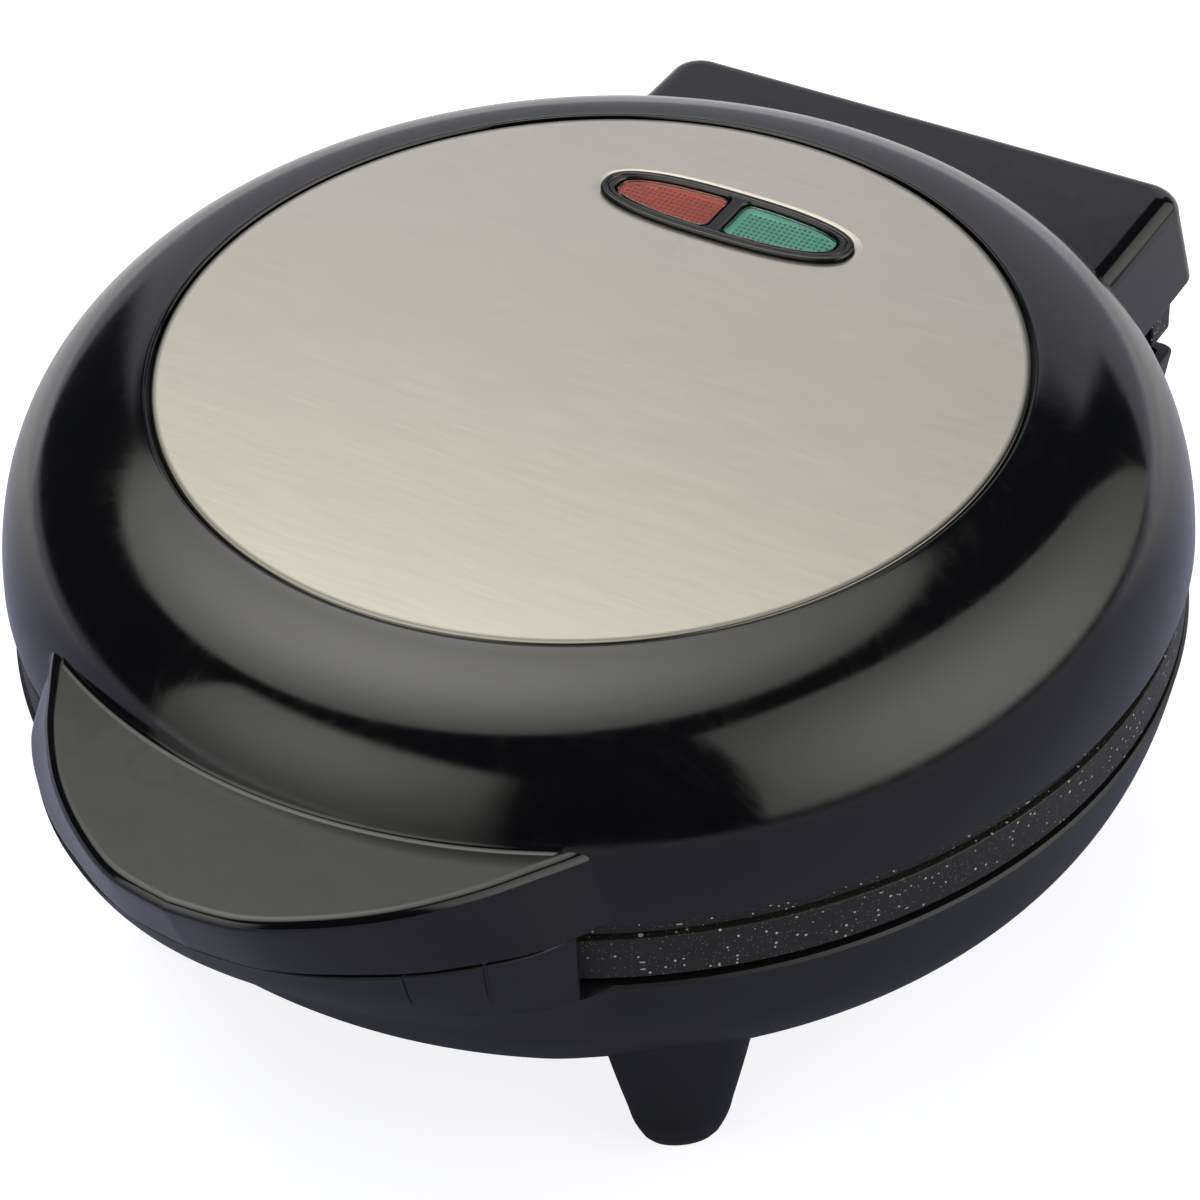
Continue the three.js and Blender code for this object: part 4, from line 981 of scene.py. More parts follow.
sheath, tree, shader, place = finish("heated_sheath", Base_Color=(0.2, 0.18, 0.17), Metallic=1.0)
skin = effect(tree, grain, Vector=place, Size=0.001, Unevenness=1.0)
heated = blend_colour(tree, skin.outputs["Mask"], (0.12, 0.1, 0.1), (0.34, 0.27, 0.22))
tree.links.new(heated, shader.inputs["Base Color"])
tree.links.new(spread(tree, skin.outputs["Mask"], 0.35, 0.6), shader.inputs["Roughness"])

sheet, tree, shader, place = finish("rolled_sheet", Base_Color=(0.62, 0.62, 0.63), Metallic=1.0)
lines = effect(tree, streak, Vector=place, Length=0.05, Width=0.0006)
tree.links.new(spread(tree, lines.outputs["Mask"], 0.28, 0.46), shader.inputs["Roughness"])
bump(tree, shader, lines.outputs["Height"], 0.00001, 0.4)

ceramic, tree, shader, place = finish("pale_ceramic", Base_Color=(0.66, 0.62, 0.54), IOR=1.5)
grained(tree, shader, place, 0.0004, (0.5, 0.75), 0.00002, 0.5)

lamp_glass, tree, shader, place = finish(
    "lamp_glass", Base_Color=(0.95, 0.9, 0.84), IOR=1.45, Roughness=0.05, Transmission_Weight=0.9,
)
wave = add(tree, "ShaderNodeTexNoise", {"Vector": place, "Scale": 300.0})
bump(tree, shader, wave.outputs["Fac"], 0.00002, 0.3)
print("inner finishes ready")

# %% [markdown]
# ## Putting the pieces on their bodies
#
# `dress` gives a finished piece its material and its moving body, and hides the imported nodes
# that it stands for.

# %% Dress the lid, the disc and the bezel
def dress(piece, material, body, nodes):
    piece.data.materials.clear()
    piece.data.materials.append(material)
    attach(piece, body)
    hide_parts(*nodes)
    return piece


def lay_uv(piece, name):
    """A UV map whose first direction runs along Y, across the brushing."""
    layer = piece.data.uv_layers.new(name=name)
    points = np.zeros(len(piece.data.vertices) * 3)
    piece.data.vertices.foreach_get("co", points)
    corner = np.zeros(len(piece.data.loops), np.int32)
    piece.data.loops.foreach_get("vertex_index", corner)
    at = points.reshape(-1, 3)[corner]
    layer.data.foreach_set("uv", np.column_stack([at[:, 1], -at[:, 0]]).ravel() * 4 + 0.5)


lay_uv(brushed_disc, "across_the_brushing")
dress(lid_cover, lid_black, "lid", ["lid_shell"])
dress(brushed_disc, steel, "lid", ["steel_disc"])
dress(lamp_frame, bezel_black, "lid", ["lamp_bezel"])
print("lid dressed")

# %% Lenses with their pyramids
LENS_TOP = BEZEL_TOP - 0.35
SKIN = 0.9
PITCH = 0.97
for name, side, finishes in (("green", 1, green_finishes), ("red", -1, red_finishes)):
    clear, core, pit_painted_shade = finishes
    edge = [(0.55, LENS_TOP - SKIN), (GAP, LENS_TOP - SKIN), (GAP, LENS_TOP - 0.45)]
    edge += [(GAP + cut, LENS_TOP - drop) for cut, drop in quarter(0.45, 5)[1:]]
    skin_piece = loft(name + "_lens_skin", [at_height(half_oval(i, side), z) for i, z in edge])
    slab_top = LENS_TOP - SKIN - 0.5
    slab = loft(name + "_lens_core", [
        at_height(half_oval(GAP, side), LENS_TOP - 3.4),
        at_height(half_oval(GAP, side), slab_top),
    ])
    window = loft(name + "_outline", [
        at_height(half_oval(GAP + 0.9, side), slab_top - 0.3),
        at_height(half_oval(GAP + 0.9, side), slab_top - 0.1),
    ])
    middle = to_frame([(side * 11.9, WINDOW_Y, slab_top + 0.09)])[0]
    rows = run_tree(name + "_lens_pyramids", pyramid_tree, {
        "Pitch": PITCH * MM,
        "Height": 0.2 * MM,
        "Fill": 0.45,
        "Columns": 24,
        "Rows": 11,
        "Middle": tuple(middle),
        "Outline": window,
        "Material": pit_painted_shade,
    })
    bpy.data.objects.remove(window)
    soften(skin_piece, 40)
    soften(slab, 40)
    dress(skin_piece, clear, "lid", [name + "_lens"])
    dress(slab, core, "lid", [name + "_lens"])
    dress(rows, pit_painted_shade, "lid", [name + "_lens"])
    describe(rows)

# %% [markdown]
# ## The cooking plates
#
# Each plate is a round casting with two D-shaped wells. The wells are cut by a lofted tool whose
# mouth flares and whose floor is rounded, so that an omelette would slide out. The two rims
# together make the speckled band that shows between lid and base.

# %% Outline of a well
PLATE_R = BODY_R - 0.8
WELL_R = PLATE_R - 13.3
WELL_DEPTH = 12
WELL_DRAFT = 3.4
PLATE_WALL = 2.8
UPPER_Z = LID_EDGE - 3.4
LOWER_Z = UPPER_Z - 0.4
BAND_TOP = LID_EDGE - GAP
BAND_BOTTOM = BOWL_RIM + 1.2
SKIRT_TOP = BAND_TOP + 3.6
SKIRT_R = BODY_R - LID_WALL - 0.8


def well_outline(inset, side):
    """A D beside the divider with round corners, the same number of points for any inset."""
    near, far = 4.5 + inset, WELL_R - inset
    corner = 11 - inset / 2
    tip = math.asin((near + corner) / (far - corner))
    middle = (near + corner, (far - corner) * math.cos(tip))
    edge = math.pi / 2 - tip
    points = [(far * math.cos(t), far * math.sin(t)) for t in np.linspace(-edge, edge, 56)]
    points += [
        (middle[0] + corner * math.cos(t), middle[1] + corner * math.sin(t))
        for t in np.linspace(edge, math.pi, 22)[1:]
    ]
    points += [
        (middle[0] + corner * math.cos(t), -middle[1] + corner * math.sin(t))
        for t in np.linspace(-math.pi, -edge, 22)[:-1]
    ]
    points = np.array(points) * (side, 1)
    return points if side > 0 else points[::-1]


def well_tool(name, side, face, direction):
    """The well as a solid: flared at the mouth, tapered, and round where it meets its floor."""
    rings = [(-1.4, -2.0), (-1.4, 0.0), (-0.95, 0.1), (-0.5, 0.38), (-0.15, 0.8), (0.0, 1.4)]
    fillet, wall_end = 5.0, WELL_DRAFT * 0.62
    rings.append((wall_end, WELL_DEPTH - fillet))
    for cut, drop in quarter(fillet, 9)[1:]:
        rings.append((wall_end + cut, WELL_DEPTH - drop))
    rings = [at_height(well_outline(inset, side), face + direction * depth) for inset, depth in rings]
    return loft(name, rings if direction > 0 else rings[::-1])


def well_back(name, side, face, direction):
    rings = [
        at_height(well_outline(inset - PLATE_WALL, side), face + direction * depth)
        for inset, depth in ((0, PLATE_WALL / 2), (WELL_DRAFT, WELL_DEPTH + PLATE_WALL))
    ]
    return loft(name, rings if direction > 0 else rings[::-1])


print("well outline of", len(well_outline(0, 1)), "points")

# %% [markdown]
# Each plate carries its half of the hinge: two lugs that reach back to the pins. A side view
# extruded across X makes a lug, and a bevel rounds it before it is joined. The rims of the plates
# are turned with the rest of the plate, from a profile.

# %% Hinge lugs and the two plates
LUG_THICK = 3.8
HINGE_Y = HOOD_REACH - 8.8 - LUG_THICK
LUG_FRONT = HINGE_Y - 4.5
LUG_BACK = HINGE_Y + 3.7
HINGE_Z = BOWL_RIM - 1.9
LUG_IN = HOOD_HALF - 9.6
LUG_OUT = LUG_IN + LUG_THICK
BOSS_OUT = LUG_OUT + LUG_THICK
lug_root = math.sqrt(PLATE_R**2 - LUG_IN**2)


def rounded_block(piece, width=0.5):
    step = piece.modifiers.new("round edges", "BEVEL")
    step.width, step.segments, step.limit_method = width * MM, 3, "ANGLE"
    step.angle_limit = math.radians(30)
    return keep_result(piece)


def mirror_pair(make):
    """The same solid on the right and, mirrored, on the left."""
    return [make("right", 1), make("left", -1)]


def across(side, near, far):
    return (side * near, side * far) if side > 0 else (side * far, side * near)


BOSS_DROP = 4.4


def upper_lug(name, side):
    lug = side_block("lug_" + name, [
        (lug_root - 6, UPPER_Z),
        (lug_root + 3, UPPER_Z),
        (LUG_FRONT, HINGE_Z),
        (LUG_FRONT, HINGE_Z - BOSS_DROP),
        (LUG_BACK, HINGE_Z - BOSS_DROP),
        (LUG_BACK, HINGE_Z + BOSS_DROP),
        (LUG_FRONT, SKIRT_TOP),
        (lug_root - 6, SKIRT_TOP),
    ], *across(side, LUG_IN, LUG_OUT))
    boss = side_block("boss_" + name, [
        (LUG_FRONT, HINGE_Z - BOSS_DROP),
        (LUG_BACK, HINGE_Z - BOSS_DROP),
        (LUG_BACK, HOOD_BOTTOM - GAP),
        (LUG_FRONT, HOOD_BOTTOM - GAP),
    ], *across(side, LUG_OUT - 0.5, BOSS_OUT))
    return combine(rounded_block(lug), [rounded_block(boss)], "UNION")


def lower_lug(name, side):
    return rounded_block(side_block("lug_" + name, [
        (lug_root - 6, LOWER_Z - PLATE_WALL),
        (lug_root - 6, BAND_BOTTOM - PLATE_WALL),
        (LUG_FRONT, HINGE_Z - BOSS_DROP),
        (LUG_BACK, HINGE_Z - BOSS_DROP),
        (LUG_BACK, HINGE_Z + BOSS_DROP),
        (LUG_FRONT, LOWER_Z - PLATE_WALL),
    ], *across(side, LUG_IN - GAP - LUG_THICK, LUG_IN - GAP)))


def make_plate(name, face, direction, profile, lug):
    plate = revolve(name, profile)
    combine(plate, [well_back("well_back", side, face, direction) for side in (1, -1)], "UNION")
    combine(plate, mirror_pair(lug), "UNION")
    combine(plate, [well_tool("well", side, face, direction) for side in (1, -1)], "DIFFERENCE")
    return soften(plate, 32)


UPPER_R = PLATE_R - 0.9
RIM_ROUND = 0.3
upper_cooking_plate = make_plate("upper_cooking_plate", UPPER_Z, 1, [
    (0, UPPER_Z),
    *[(UPPER_R - drop, UPPER_Z + cut) for drop, cut in reversed(quarter(RIM_ROUND, 5))],
    (UPPER_R, BAND_TOP),
    (SKIRT_R, BAND_TOP),
    (SKIRT_R, SKIRT_TOP),
    (SKIRT_R - 2.8, SKIRT_TOP),
    (SKIRT_R - 2.8, UPPER_Z + PLATE_WALL),
    (0, UPPER_Z + PLATE_WALL),
], upper_lug)
lower_cooking_plate = make_plate("lower_cooking_plate", LOWER_Z, -1, [
    (0, LOWER_Z),
    *[(PLATE_R - drop, LOWER_Z - cut) for drop, cut in reversed(quarter(RIM_ROUND, 5))],
    (PLATE_R, BAND_BOTTOM + 0.4),
    (PLATE_R - 0.4, BAND_BOTTOM),
    (SKIRT_R, BAND_BOTTOM),
    (SKIRT_R - 0.9, BAND_BOTTOM - 6.2),
    (SKIRT_R - 3.7, BAND_BOTTOM - 6.2),
    (SKIRT_R - 3.7, LOWER_Z - PLATE_WALL),
    (0, LOWER_Z - PLATE_WALL),
], lower_lug)
dress(upper_cooking_plate, coating, "lid", ["upper_plate"])
dress(lower_cooking_plate, coating, "base", ["lower_plate"])
describe(upper_cooking_plate)
describe(lower_cooking_plate)

# %% [markdown]
# ## The base
#
# The bowl is round but for a lip that swells out under the grip. Both could be joined with a
# boolean, yet their skins run into each other at a very flat angle, where booleans leave
# slivers. A turned form whose profile changes with the angle has no such seam: every column of
# points is one profile, and the lip's points lie folded on the rim wherever there is no lip.

# %% Profile of the bowl at an angle
BOWL_R = BODY_R - 0.2
FLOOR_R = BODY_R - 28.7
BOWL_WALL = 2.6
LIP_HALF = 0.505
LIP_FADE = 0.58
LIP_PROUD = 2.8
LIP_BULGE = 17.6
LIP_WALL = 2.4
LIP_TOP = GRIP_BOTTOM - 0.4
LIP_END_POINTS = 11
NOTCH = {"width": 0.7, "depth": 0.3, "length": 11, "angles": (0.283, 0.384)}
lip_heights = np.array([0.0, 0.08, 0.18, 0.3, 0.43, 0.56, 0.69, 0.85, 1.0])
lip_bulges = np.array([0, 0, 0, 0, 0.03, 0.18, 0.46, 0.8, 1.0])
lip_prouds = np.array([0, 0, 0.3, 0.7, 1.1, 1.1, 1, 1, 1])

bowl_path = bezier(
    (BOWL_R, BOWL_RIM - 0.5),
    (BOWL_R + (BOWL_R - FLOOR_R) * -0.056, BOWL_RIM - BOWL_DEPTH * 0.249),
    (FLOOR_R + (BOWL_R - FLOOR_R) * 0.861, BOWL_FLOOR),
    (FLOOR_R, BOWL_FLOOR),
    64,
)
bowl_inside = offset_path(bowl_path, -BOWL_WALL)
bowl_inside = bowl_inside[bowl_inside[:, 1] > BOWL_FLOOR + BOWL_WALL + 0.02]
bowl_inside = bowl_inside[bowl_inside[:, 1] < BOWL_RIM - 0.8]


def smooth_between(x, xs, ys):
    """A cubic through the points that keeps a gentle slope at each."""
    slopes = np.gradient(ys, xs)
    k = np.clip(np.searchsorted(xs, x) - 1, 0, len(xs) - 2)
    h = xs[k + 1] - xs[k]
    t = np.clip((x - xs[k]) / h, 0, 1)
    low, high = ys[k], ys[k + 1]
    return (
        (2 * t**3 - 3 * t**2 + 1) * low
        + (t**3 - 2 * t**2 + t) * h * slopes[k]
        + (-2 * t**3 + 3 * t**2) * high
        + (t**3 - t**2) * h * slopes[k + 1]
    )


def lip_extra(z, angle):
    """How far the skin stands out from the round bowl at a height and an angle."""
    share = np.clip((z - BOWL_FLOOR) / (LIP_TOP - BOWL_FLOOR), 0, 1)
    bulge = np.maximum(smooth_between(share, lip_heights, lip_bulges), 0) * LIP_BULGE
    proud = np.maximum(smooth_between(share, lip_heights, lip_prouds), 0) * LIP_PROUD
    reach = LIP_HALF * 1.06
    swell = math.cos(math.pi * angle / reach / 2) if abs(angle) < reach else 0
    t = np.clip((LIP_FADE - abs(angle)) / (LIP_FADE - LIP_HALF * 0.86), 0, 1)
    return bulge * swell + proud * t * t * (3 - 2 * t)


notch_z = LIP_TOP - NOTCH["length"]
lip_rows = np.concatenate([
    np.linspace(BOWL_RIM, notch_z - 0.02, 8),
    np.linspace(notch_z + 0.02, LIP_TOP - 0.6, 10),
])


def bowl_column(angle, lip, pocket, notch):
    below = bowl_path[::-1]
    outer = [(r + lip_extra(z, angle), z) for r, z in below]
    rim = (BOWL_R - 0.5, BOWL_RIM)
    if lip:
        sunk = NOTCH["depth"] if notch else 0
        fades = [sunk * min(max(z - notch_z, 0) / NOTCH["length"] * 4, 1) for z in lip_rows]
        rows = [(BOWL_R + lip_extra(z, angle) - cut, z) for z, cut in zip(lip_rows, fades)]
        out = BOWL_R + float(lip_extra(LIP_TOP, angle)) - sunk
        rows += [(out - cut, LIP_TOP - drop) for cut, drop in quarter(0.6, 4)[1:]]
        wall_in, wall_back = max(out - LIP_WALL, BODY_R + 1.4), BODY_R + 1.1
        deep = 21 if pocket else 0.0
        low_in = BOWL_R + float(lip_extra(LIP_TOP - deep, angle)) - LIP_WALL if pocket else wall_in
        low_in = max(low_in, wall_back + 0.4) if pocket else wall_in
        rows += [(wall_in, LIP_TOP)]
        rows += [(low_in, LIP_TOP - deep), (wall_back, LIP_TOP - deep)]
        rows += [(wall_back, LIP_TOP), (BODY_R + GAP, LIP_TOP), (BODY_R + GAP, LID_EDGE - GAP)]
        rows += [(PLATE_R + 2 * GAP, LID_EDGE - GAP), (PLATE_R + 2 * GAP, BOWL_RIM + 0.01)]
    else:
        rows = [rim] * (len(lip_rows) + LIP_END_POINTS)
    inner = [(BOWL_R - BOWL_WALL, BOWL_RIM), *bowl_inside]
    inner += [(bowl_inside[-1][0], BOWL_FLOOR + BOWL_WALL), (0, BOWL_FLOOR + BOWL_WALL)]
    return [(0, BOWL_FLOOR), *outer, *rows, rim, *inner]


print("columns of", len(bowl_column(0, True, True, False)), "points")

# %% The bowl with its lip and notches
def bowl_columns():
    """Angles round the bowl with what each column has, doubled where something begins."""
    tiny = 0.0004
    events = [LIP_HALF, LIP_HALF * 0.6]
    for middle in NOTCH["angles"]:
        half = NOTCH["width"] / 2 / (BODY_R + LIP_BULGE)
        events += [middle - half, middle + half]
    angles = set(np.linspace(-math.pi, math.pi, 300, endpoint=False).round(6))
    angles |= set(np.linspace(-LIP_FADE, LIP_FADE, 121).round(6))
    for event in events:
        for side in (1, -1):
            angles = {a for a in angles if abs(a - side * event) > 0.002}
            angles |= {side * event - tiny, side * event + tiny}
    made = []
    for angle in sorted(angles):
        size = abs(angle)
        notch = any(
            abs(size - middle) < NOTCH["width"] / 2 / (BODY_R + LIP_BULGE) for middle in NOTCH["angles"]
        )
        profile = bowl_column(angle, size < LIP_HALF, size < LIP_HALF * 0.6, notch)
        made.append([(r * math.sin(angle), -r * math.cos(angle), z) for r, z in profile])
    return made


base_bowl = grid_piece("base_bowl", bowl_columns())
describe(base_bowl)

# %% [markdown]
# The housing at the back and the four legs meet the bowl at clear angles, so booleans suit them.
# Each loses what would reach into the bowl before it is joined.

# %% Housing and legs
BACK_HALF = HOOD_HALF - 0.4
BACK_REACH = HOOD_REACH - 8.8
BACK_TOP = BOWL_RIM - 10.4
BACK_BOTTOM = BOWL_FLOOR + 2.6
BACK_DRAFT = 2.6


def back_ring(inset, draft, z, corner=2.2):
    outline = box_outline(BACK_HALF - draft - inset, 0.7 * BODY_R, BACK_REACH - draft - inset, corner)
    return at_height(outline, z)


def bowl_room(name):
    """The bowl's inside as a solid, open upwards."""
    return revolve(name, [
        (0, BOWL_RIM + 2),
        (BOWL_R - BOWL_WALL * 0.5, BOWL_RIM + 2),
        *[(r + BOWL_WALL * 0.5, z - BOWL_WALL * 0.3) for r, z in bowl_inside],
        (0, BOWL_FLOOR + BOWL_WALL * 0.5),
    ], 180)


housing = loft("housing", [
    *[
        back_ring(1.2 * (1 - math.sin(t)), BACK_DRAFT, BACK_BOTTOM + 1.2 * (1 - math.cos(t)))
        for t in np.linspace(0, math.pi / 2, 6)
    ],
    back_ring(0, 0.15, BACK_TOP - 0.8),
    back_ring(0.12, 0, BACK_TOP - 0.3),
    back_ring(0.4, 0, BACK_TOP),
])
housing_hollow = loft("housing_hollow", [
    back_ring(3.4, BACK_DRAFT, BACK_BOTTOM + 2.2, 1.2),
    back_ring(2.2, BACK_DRAFT, BACK_BOTTOM + 3.4, 1.2),
    back_ring(2.2, 0, BACK_TOP + 2, 1.2),
])
combine(housing, [housing_hollow, bowl_room("room")], "DIFFERENCE")

LEG_R = BODY_R - 14.9
LEG_HALF_WIDTH = 14.6
LEG_HALF_DEPTH = 7.4
LEG_ROOT = 10.6
LEG_ANGLE = 0.668
leg_heights = np.array([0, 0.025, 0.08, 0.17, 0.34, 0.66, 1])
leg_widths = np.array([0.22, 0.38, 0.46, 0.545, 0.63, 0.78, 0.92])


def leg(name, angle):
    turns = np.linspace(0, 2 * math.pi, 56, endpoint=False)
    rings = []
    for share in np.concatenate([[0, 0.004, 0.012], np.linspace(0.025, 1, 26)]):
        width = float(smooth_between(share, leg_heights, leg_widths))
        x = LEG_HALF_WIDTH * width * np.cos(turns)
        y = LEG_HALF_DEPTH * width * np.sin(turns) - LEG_R
        ring = np.column_stack([
            x * math.cos(angle) - y * math.sin(angle),
            x * math.sin(angle) + y * math.cos(angle),
            np.full(len(turns), share * (BOWL_FLOOR + LEG_ROOT)),
        ])
        rings.append(ring)
    return loft(name, rings)


leg_angles = (LEG_ANGLE, -LEG_ANGLE, math.pi + LEG_ANGLE, math.pi - LEG_ANGLE)
legs = [leg(f"leg_{i}", angle) for i, angle in enumerate(leg_angles)]
for one in legs:
    combine(one, [bowl_room("room")], "DIFFERENCE")
combine(base_bowl, [housing, *legs], "UNION")
rim_notch = side_block("rim_notch", [
    (0.7 * BODY_R, BOWL_RIM - 8.4),
    (BACK_REACH, BOWL_RIM - 8.4),
    (BACK_REACH, BOWL_RIM + 2),
    (0.7 * BODY_R, BOWL_RIM + 2),
], 2 - BACK_HALF, BACK_HALF - 2)
combine(base_bowl, [rim_notch], "DIFFERENCE")
soften(base_bowl, 32)
dress(base_bowl, base_black, "base", ["base_shell"])
describe(base_bowl)

# %% [markdown]
# ## Hinge pins and the cord inlet
#
# Both are turned parts that lie on their side. A plain profile with rounded ends is enough.

# %% Pins and bushing
def turned_along(name, profile, direction, centre, steps=64):
    """Turn (distance along, radius) pairs round an axis through the centre along X or Y."""
    turns = np.linspace(0, 2 * math.pi, steps, endpoint=False)
    columns = []
    for t in turns:
        column = []
        for run, radius in profile:
            side, up = radius * math.cos(t), radius * math.sin(t)
            offset = (run, side, up) if direction == "X" else (side, run, up)
            column.append(np.array(centre) + offset)
        columns.append(column)
    return grid_piece(name, columns)


PIN_R = 2.2
PIN_HEAD_R = 3.4
pin_head = LUG_IN - GAP - LUG_THICK - GAP
for name, side in (("right", 1), ("left", -1)):
    profile = [
        (pin_head - 1.2, 0), (pin_head - 1.2, 2.6), (pin_head - 1.0, 3.15), (pin_head - 0.6, PIN_HEAD_R),
        (pin_head, PIN_HEAD_R), (pin_head, PIN_R), (BOSS_OUT - 0.8, PIN_R), (BOSS_OUT - 0.6, 2.0),
        (BOSS_OUT - 0.6, 0),
    ]
    profile = [(side * run, radius) for run, radius in profile]
    pin = turned_along("pin_" + name, profile, "X", (0, HINGE_Y, HINGE_Z))
    dress(soften(pin, 35), zinc, "base", ["hinge_pin_" + name])

bushing_low, bushing_high = span("cord_bushing")
bushing_y = (bushing_low.y - AXIS_Y, bushing_high.y - AXIS_Y)
bushing_z = (bushing_low.z + bushing_high.z) / 2
inlet = turned_along("cord_inlet_ring", [
    (bushing_y[0], 3.4), (bushing_y[0], 4.9), (bushing_y[1] - 1.6, 4.98), (bushing_y[1] - 1.6, 6.4),
    (bushing_y[1] - 0.5, 6.4), (bushing_y[1] - 0.15, 6.2), (bushing_y[1], 5.8),
    (bushing_y[1], 4.1), (bushing_y[1] - 0.2, 3.7), (bushing_y[1] - 0.6, 3.42),
], "Y", (0, 0, bushing_z))
dress(soften(inlet, 35), bezel_black, "base", ["cord_bushing"])
describe(inlet)

# %% [markdown]
# ## Screws
#
# Eight equal screws stand on two circles, four through the lid's deck and four through the
# bowl's floor. One tree makes a head with a cross recess and a shank, and puts copies of it on
# a circle of points.

# %% A tree of screws
screw_tree, start, end = tree_with("screws_on_a_circle", [
    ("Count", "NodeSocketInt", 4),
    ("Circle", FLOAT, 0.07),
    ("Middle", VECTOR, (0, 0, 0)),
    ("Head radius", FLOAT, 0.0034),
    ("Head height", FLOAT, 0.0018),
    ("Shank radius", FLOAT, 0.0018),
    ("Shank length", FLOAT, 0.02),
    ("Turn over", FLOAT, 0.0),
    ("Material", "NodeSocketMaterial", None),
])
circle = add(screw_tree, "GeometryNodeMeshCircle", {
    "Vertices": start.outputs["Count"], "Radius": start.outputs["Circle"],
})
turned = add(screw_tree, "GeometryNodeTransform", {
    "Geometry": circle.outputs["Mesh"],
    "Translation": start.outputs["Middle"],
    "Rotation": (0, 0, math.pi / 4),
})
head = add(screw_tree, "GeometryNodeMeshCylinder", {
    "Vertices": 40, "Radius": start.outputs["Head radius"], "Depth": start.outputs["Head height"],
})
half_head = add(screw_tree, "ShaderNodeMath", {0: start.outputs["Head height"], 1: 0.5}, operation="MULTIPLY")
lift = add(screw_tree, "ShaderNodeCombineXYZ", {2: half_head.outputs[0]})
head_up = add(screw_tree, "GeometryNodeTransform", {
    "Geometry": head.outputs["Mesh"], "Translation": lift.outputs[0],
})
slot_long = add(screw_tree, "ShaderNodeCombineXYZ", {0: 0.0042, 1: 0.0009, 2: 0.002})
bar = add(screw_tree, "GeometryNodeMeshCube", {"Size": slot_long.outputs[0]})
top_at = add(screw_tree, "ShaderNodeCombineXYZ", {2: start.outputs["Head height"]})
bar_one = add(screw_tree, "GeometryNodeTransform", {
    "Geometry": bar.outputs["Mesh"], "Translation": top_at.outputs[0],
})
bar_two = add(screw_tree, "GeometryNodeTransform", {
    "Geometry": bar.outputs["Mesh"], "Translation": top_at.outputs[0], "Rotation": (0, 0, math.pi / 2),
})
recessed = add(screw_tree, "GeometryNodeMeshBoolean", {
    "Mesh 1": head_up.outputs["Geometry"],
}, operation="DIFFERENCE", solver="EXACT")
screw_tree.links.new(bar_one.outputs["Geometry"], recessed.inputs["Mesh 2"])
screw_tree.links.new(bar_two.outputs["Geometry"], recessed.inputs["Mesh 2"])
shank = add(screw_tree, "GeometryNodeMeshCylinder", {
    "Vertices": 24, "Radius": start.outputs["Shank radius"], "Depth": start.outputs["Shank length"],
})
half_shank = add(screw_tree, "ShaderNodeMath", {
    0: start.outputs["Shank length"], 1: -0.4995,
}, operation="MULTIPLY")
drop = add(screw_tree, "ShaderNodeCombineXYZ", {2: half_shank.outputs[0]})
shank_down = add(screw_tree, "GeometryNodeTransform", {
    "Geometry": shank.outputs["Mesh"], "Translation": drop.outputs[0],
})
screw = add(screw_tree, "GeometryNodeMeshBoolean", operation="UNION", solver="EXACT")
screw_tree.links.new(recessed.outputs["Mesh"], screw.inputs["Mesh 2"])
screw_tree.links.new(shank_down.outputs["Geometry"], screw.inputs["Mesh 2"])
over = add(screw_tree, "ShaderNodeCombineXYZ", {0: start.outputs["Turn over"]})
copies = add(screw_tree, "GeometryNodeInstanceOnPoints", {
    "Points": turned.outputs["Geometry"], "Instance": screw.outputs["Mesh"], "Rotation": over.outputs[0],
})
real = add(screw_tree, "GeometryNodeRealizeInstances", {"Geometry": copies.outputs["Instances"]})
painted = add(screw_tree, "GeometryNodeSetMaterial", {
    "Geometry": real.outputs["Geometry"], "Material": start.outputs["Material"],
})
screw_tree.links.new(painted.outputs["Geometry"], end.inputs["Mesh"])

HEAD_HEIGHT = 1.8
for body in ("lid", "base"):
    low, high = span(body + "_screw_1")
    is_lid = body == "lid"
    seat = high.z - HEAD_HEIGHT if is_lid else low.z + HEAD_HEIGHT
    screws = run_tree(body + "_screws", screw_tree, {
        "Circle": (DISC_R - 5.8) * MM,
        "Middle": tuple(to_frame([(0, 0, seat)])[0]),
        "Shank length": (high.z - low.z - HEAD_HEIGHT) * MM,
        "Turn over": 0.0 if is_lid else math.pi,
        "Material": zinc,
    })
    soften(screws, 30)
    dress(screws, zinc, body, [f"{body}_screw_{i}" for i in range(1, 5)])
    describe(screws)

# %% [markdown]
# ## The hidden pieces
#
# Elements, shields, clamps, lamps and blocks sit inside the closed housings. Their solids are
# right as they are, so a merged copy with smooth shading and a real finish is enough. The copy
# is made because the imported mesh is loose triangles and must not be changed.

# %% Smooth copies of the inner solids
inner = {
    "lamp_holder": (ceramic, "ceramic"),
    "green_lamp": (lamp_glass, "lamp_glass"),
    "red_lamp": (lamp_glass, "lamp_glass"),
    "upper_heating_element": (sheath, "element_sheath"),
    "lower_heating_element": (sheath, "element_sheath"),
    "upper_element_clamp_right": (zinc, "plated_steel"),
    "upper_element_clamp_left": (zinc, "plated_steel"),
    "lower_element_clamp_right": (zinc, "plated_steel"),
    "lower_element_clamp_left": (zinc, "plated_steel"),
    "upper_heat_shield": (sheet, "shield_sheet"),
    "lower_heat_shield": (sheet, "shield_sheet"),
    "thermostat": (ceramic, "ceramic"),
    "thermal_fuse": (zinc, "plated_steel"),
    "terminal_block": (ceramic, "ceramic"),
}
for node, (material, slot) in inner.items():
    source = frame["nodes"][node]
    copy = bpy.data.objects.new("inner_" + node, source.data.copy())
    bpy.context.scene.collection.objects.link(copy)
    soften(copy, 40, weighted=False)
    dress(copy, material, source["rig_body"], [node])
print(len(inner), "inner pieces")

# %% [markdown]
# ## The camera
#
# The camera stands where the photograph was taken. Its place is written as a turn round the
# object, a height above the horizon and a distance, and it is tipped a little to one side.

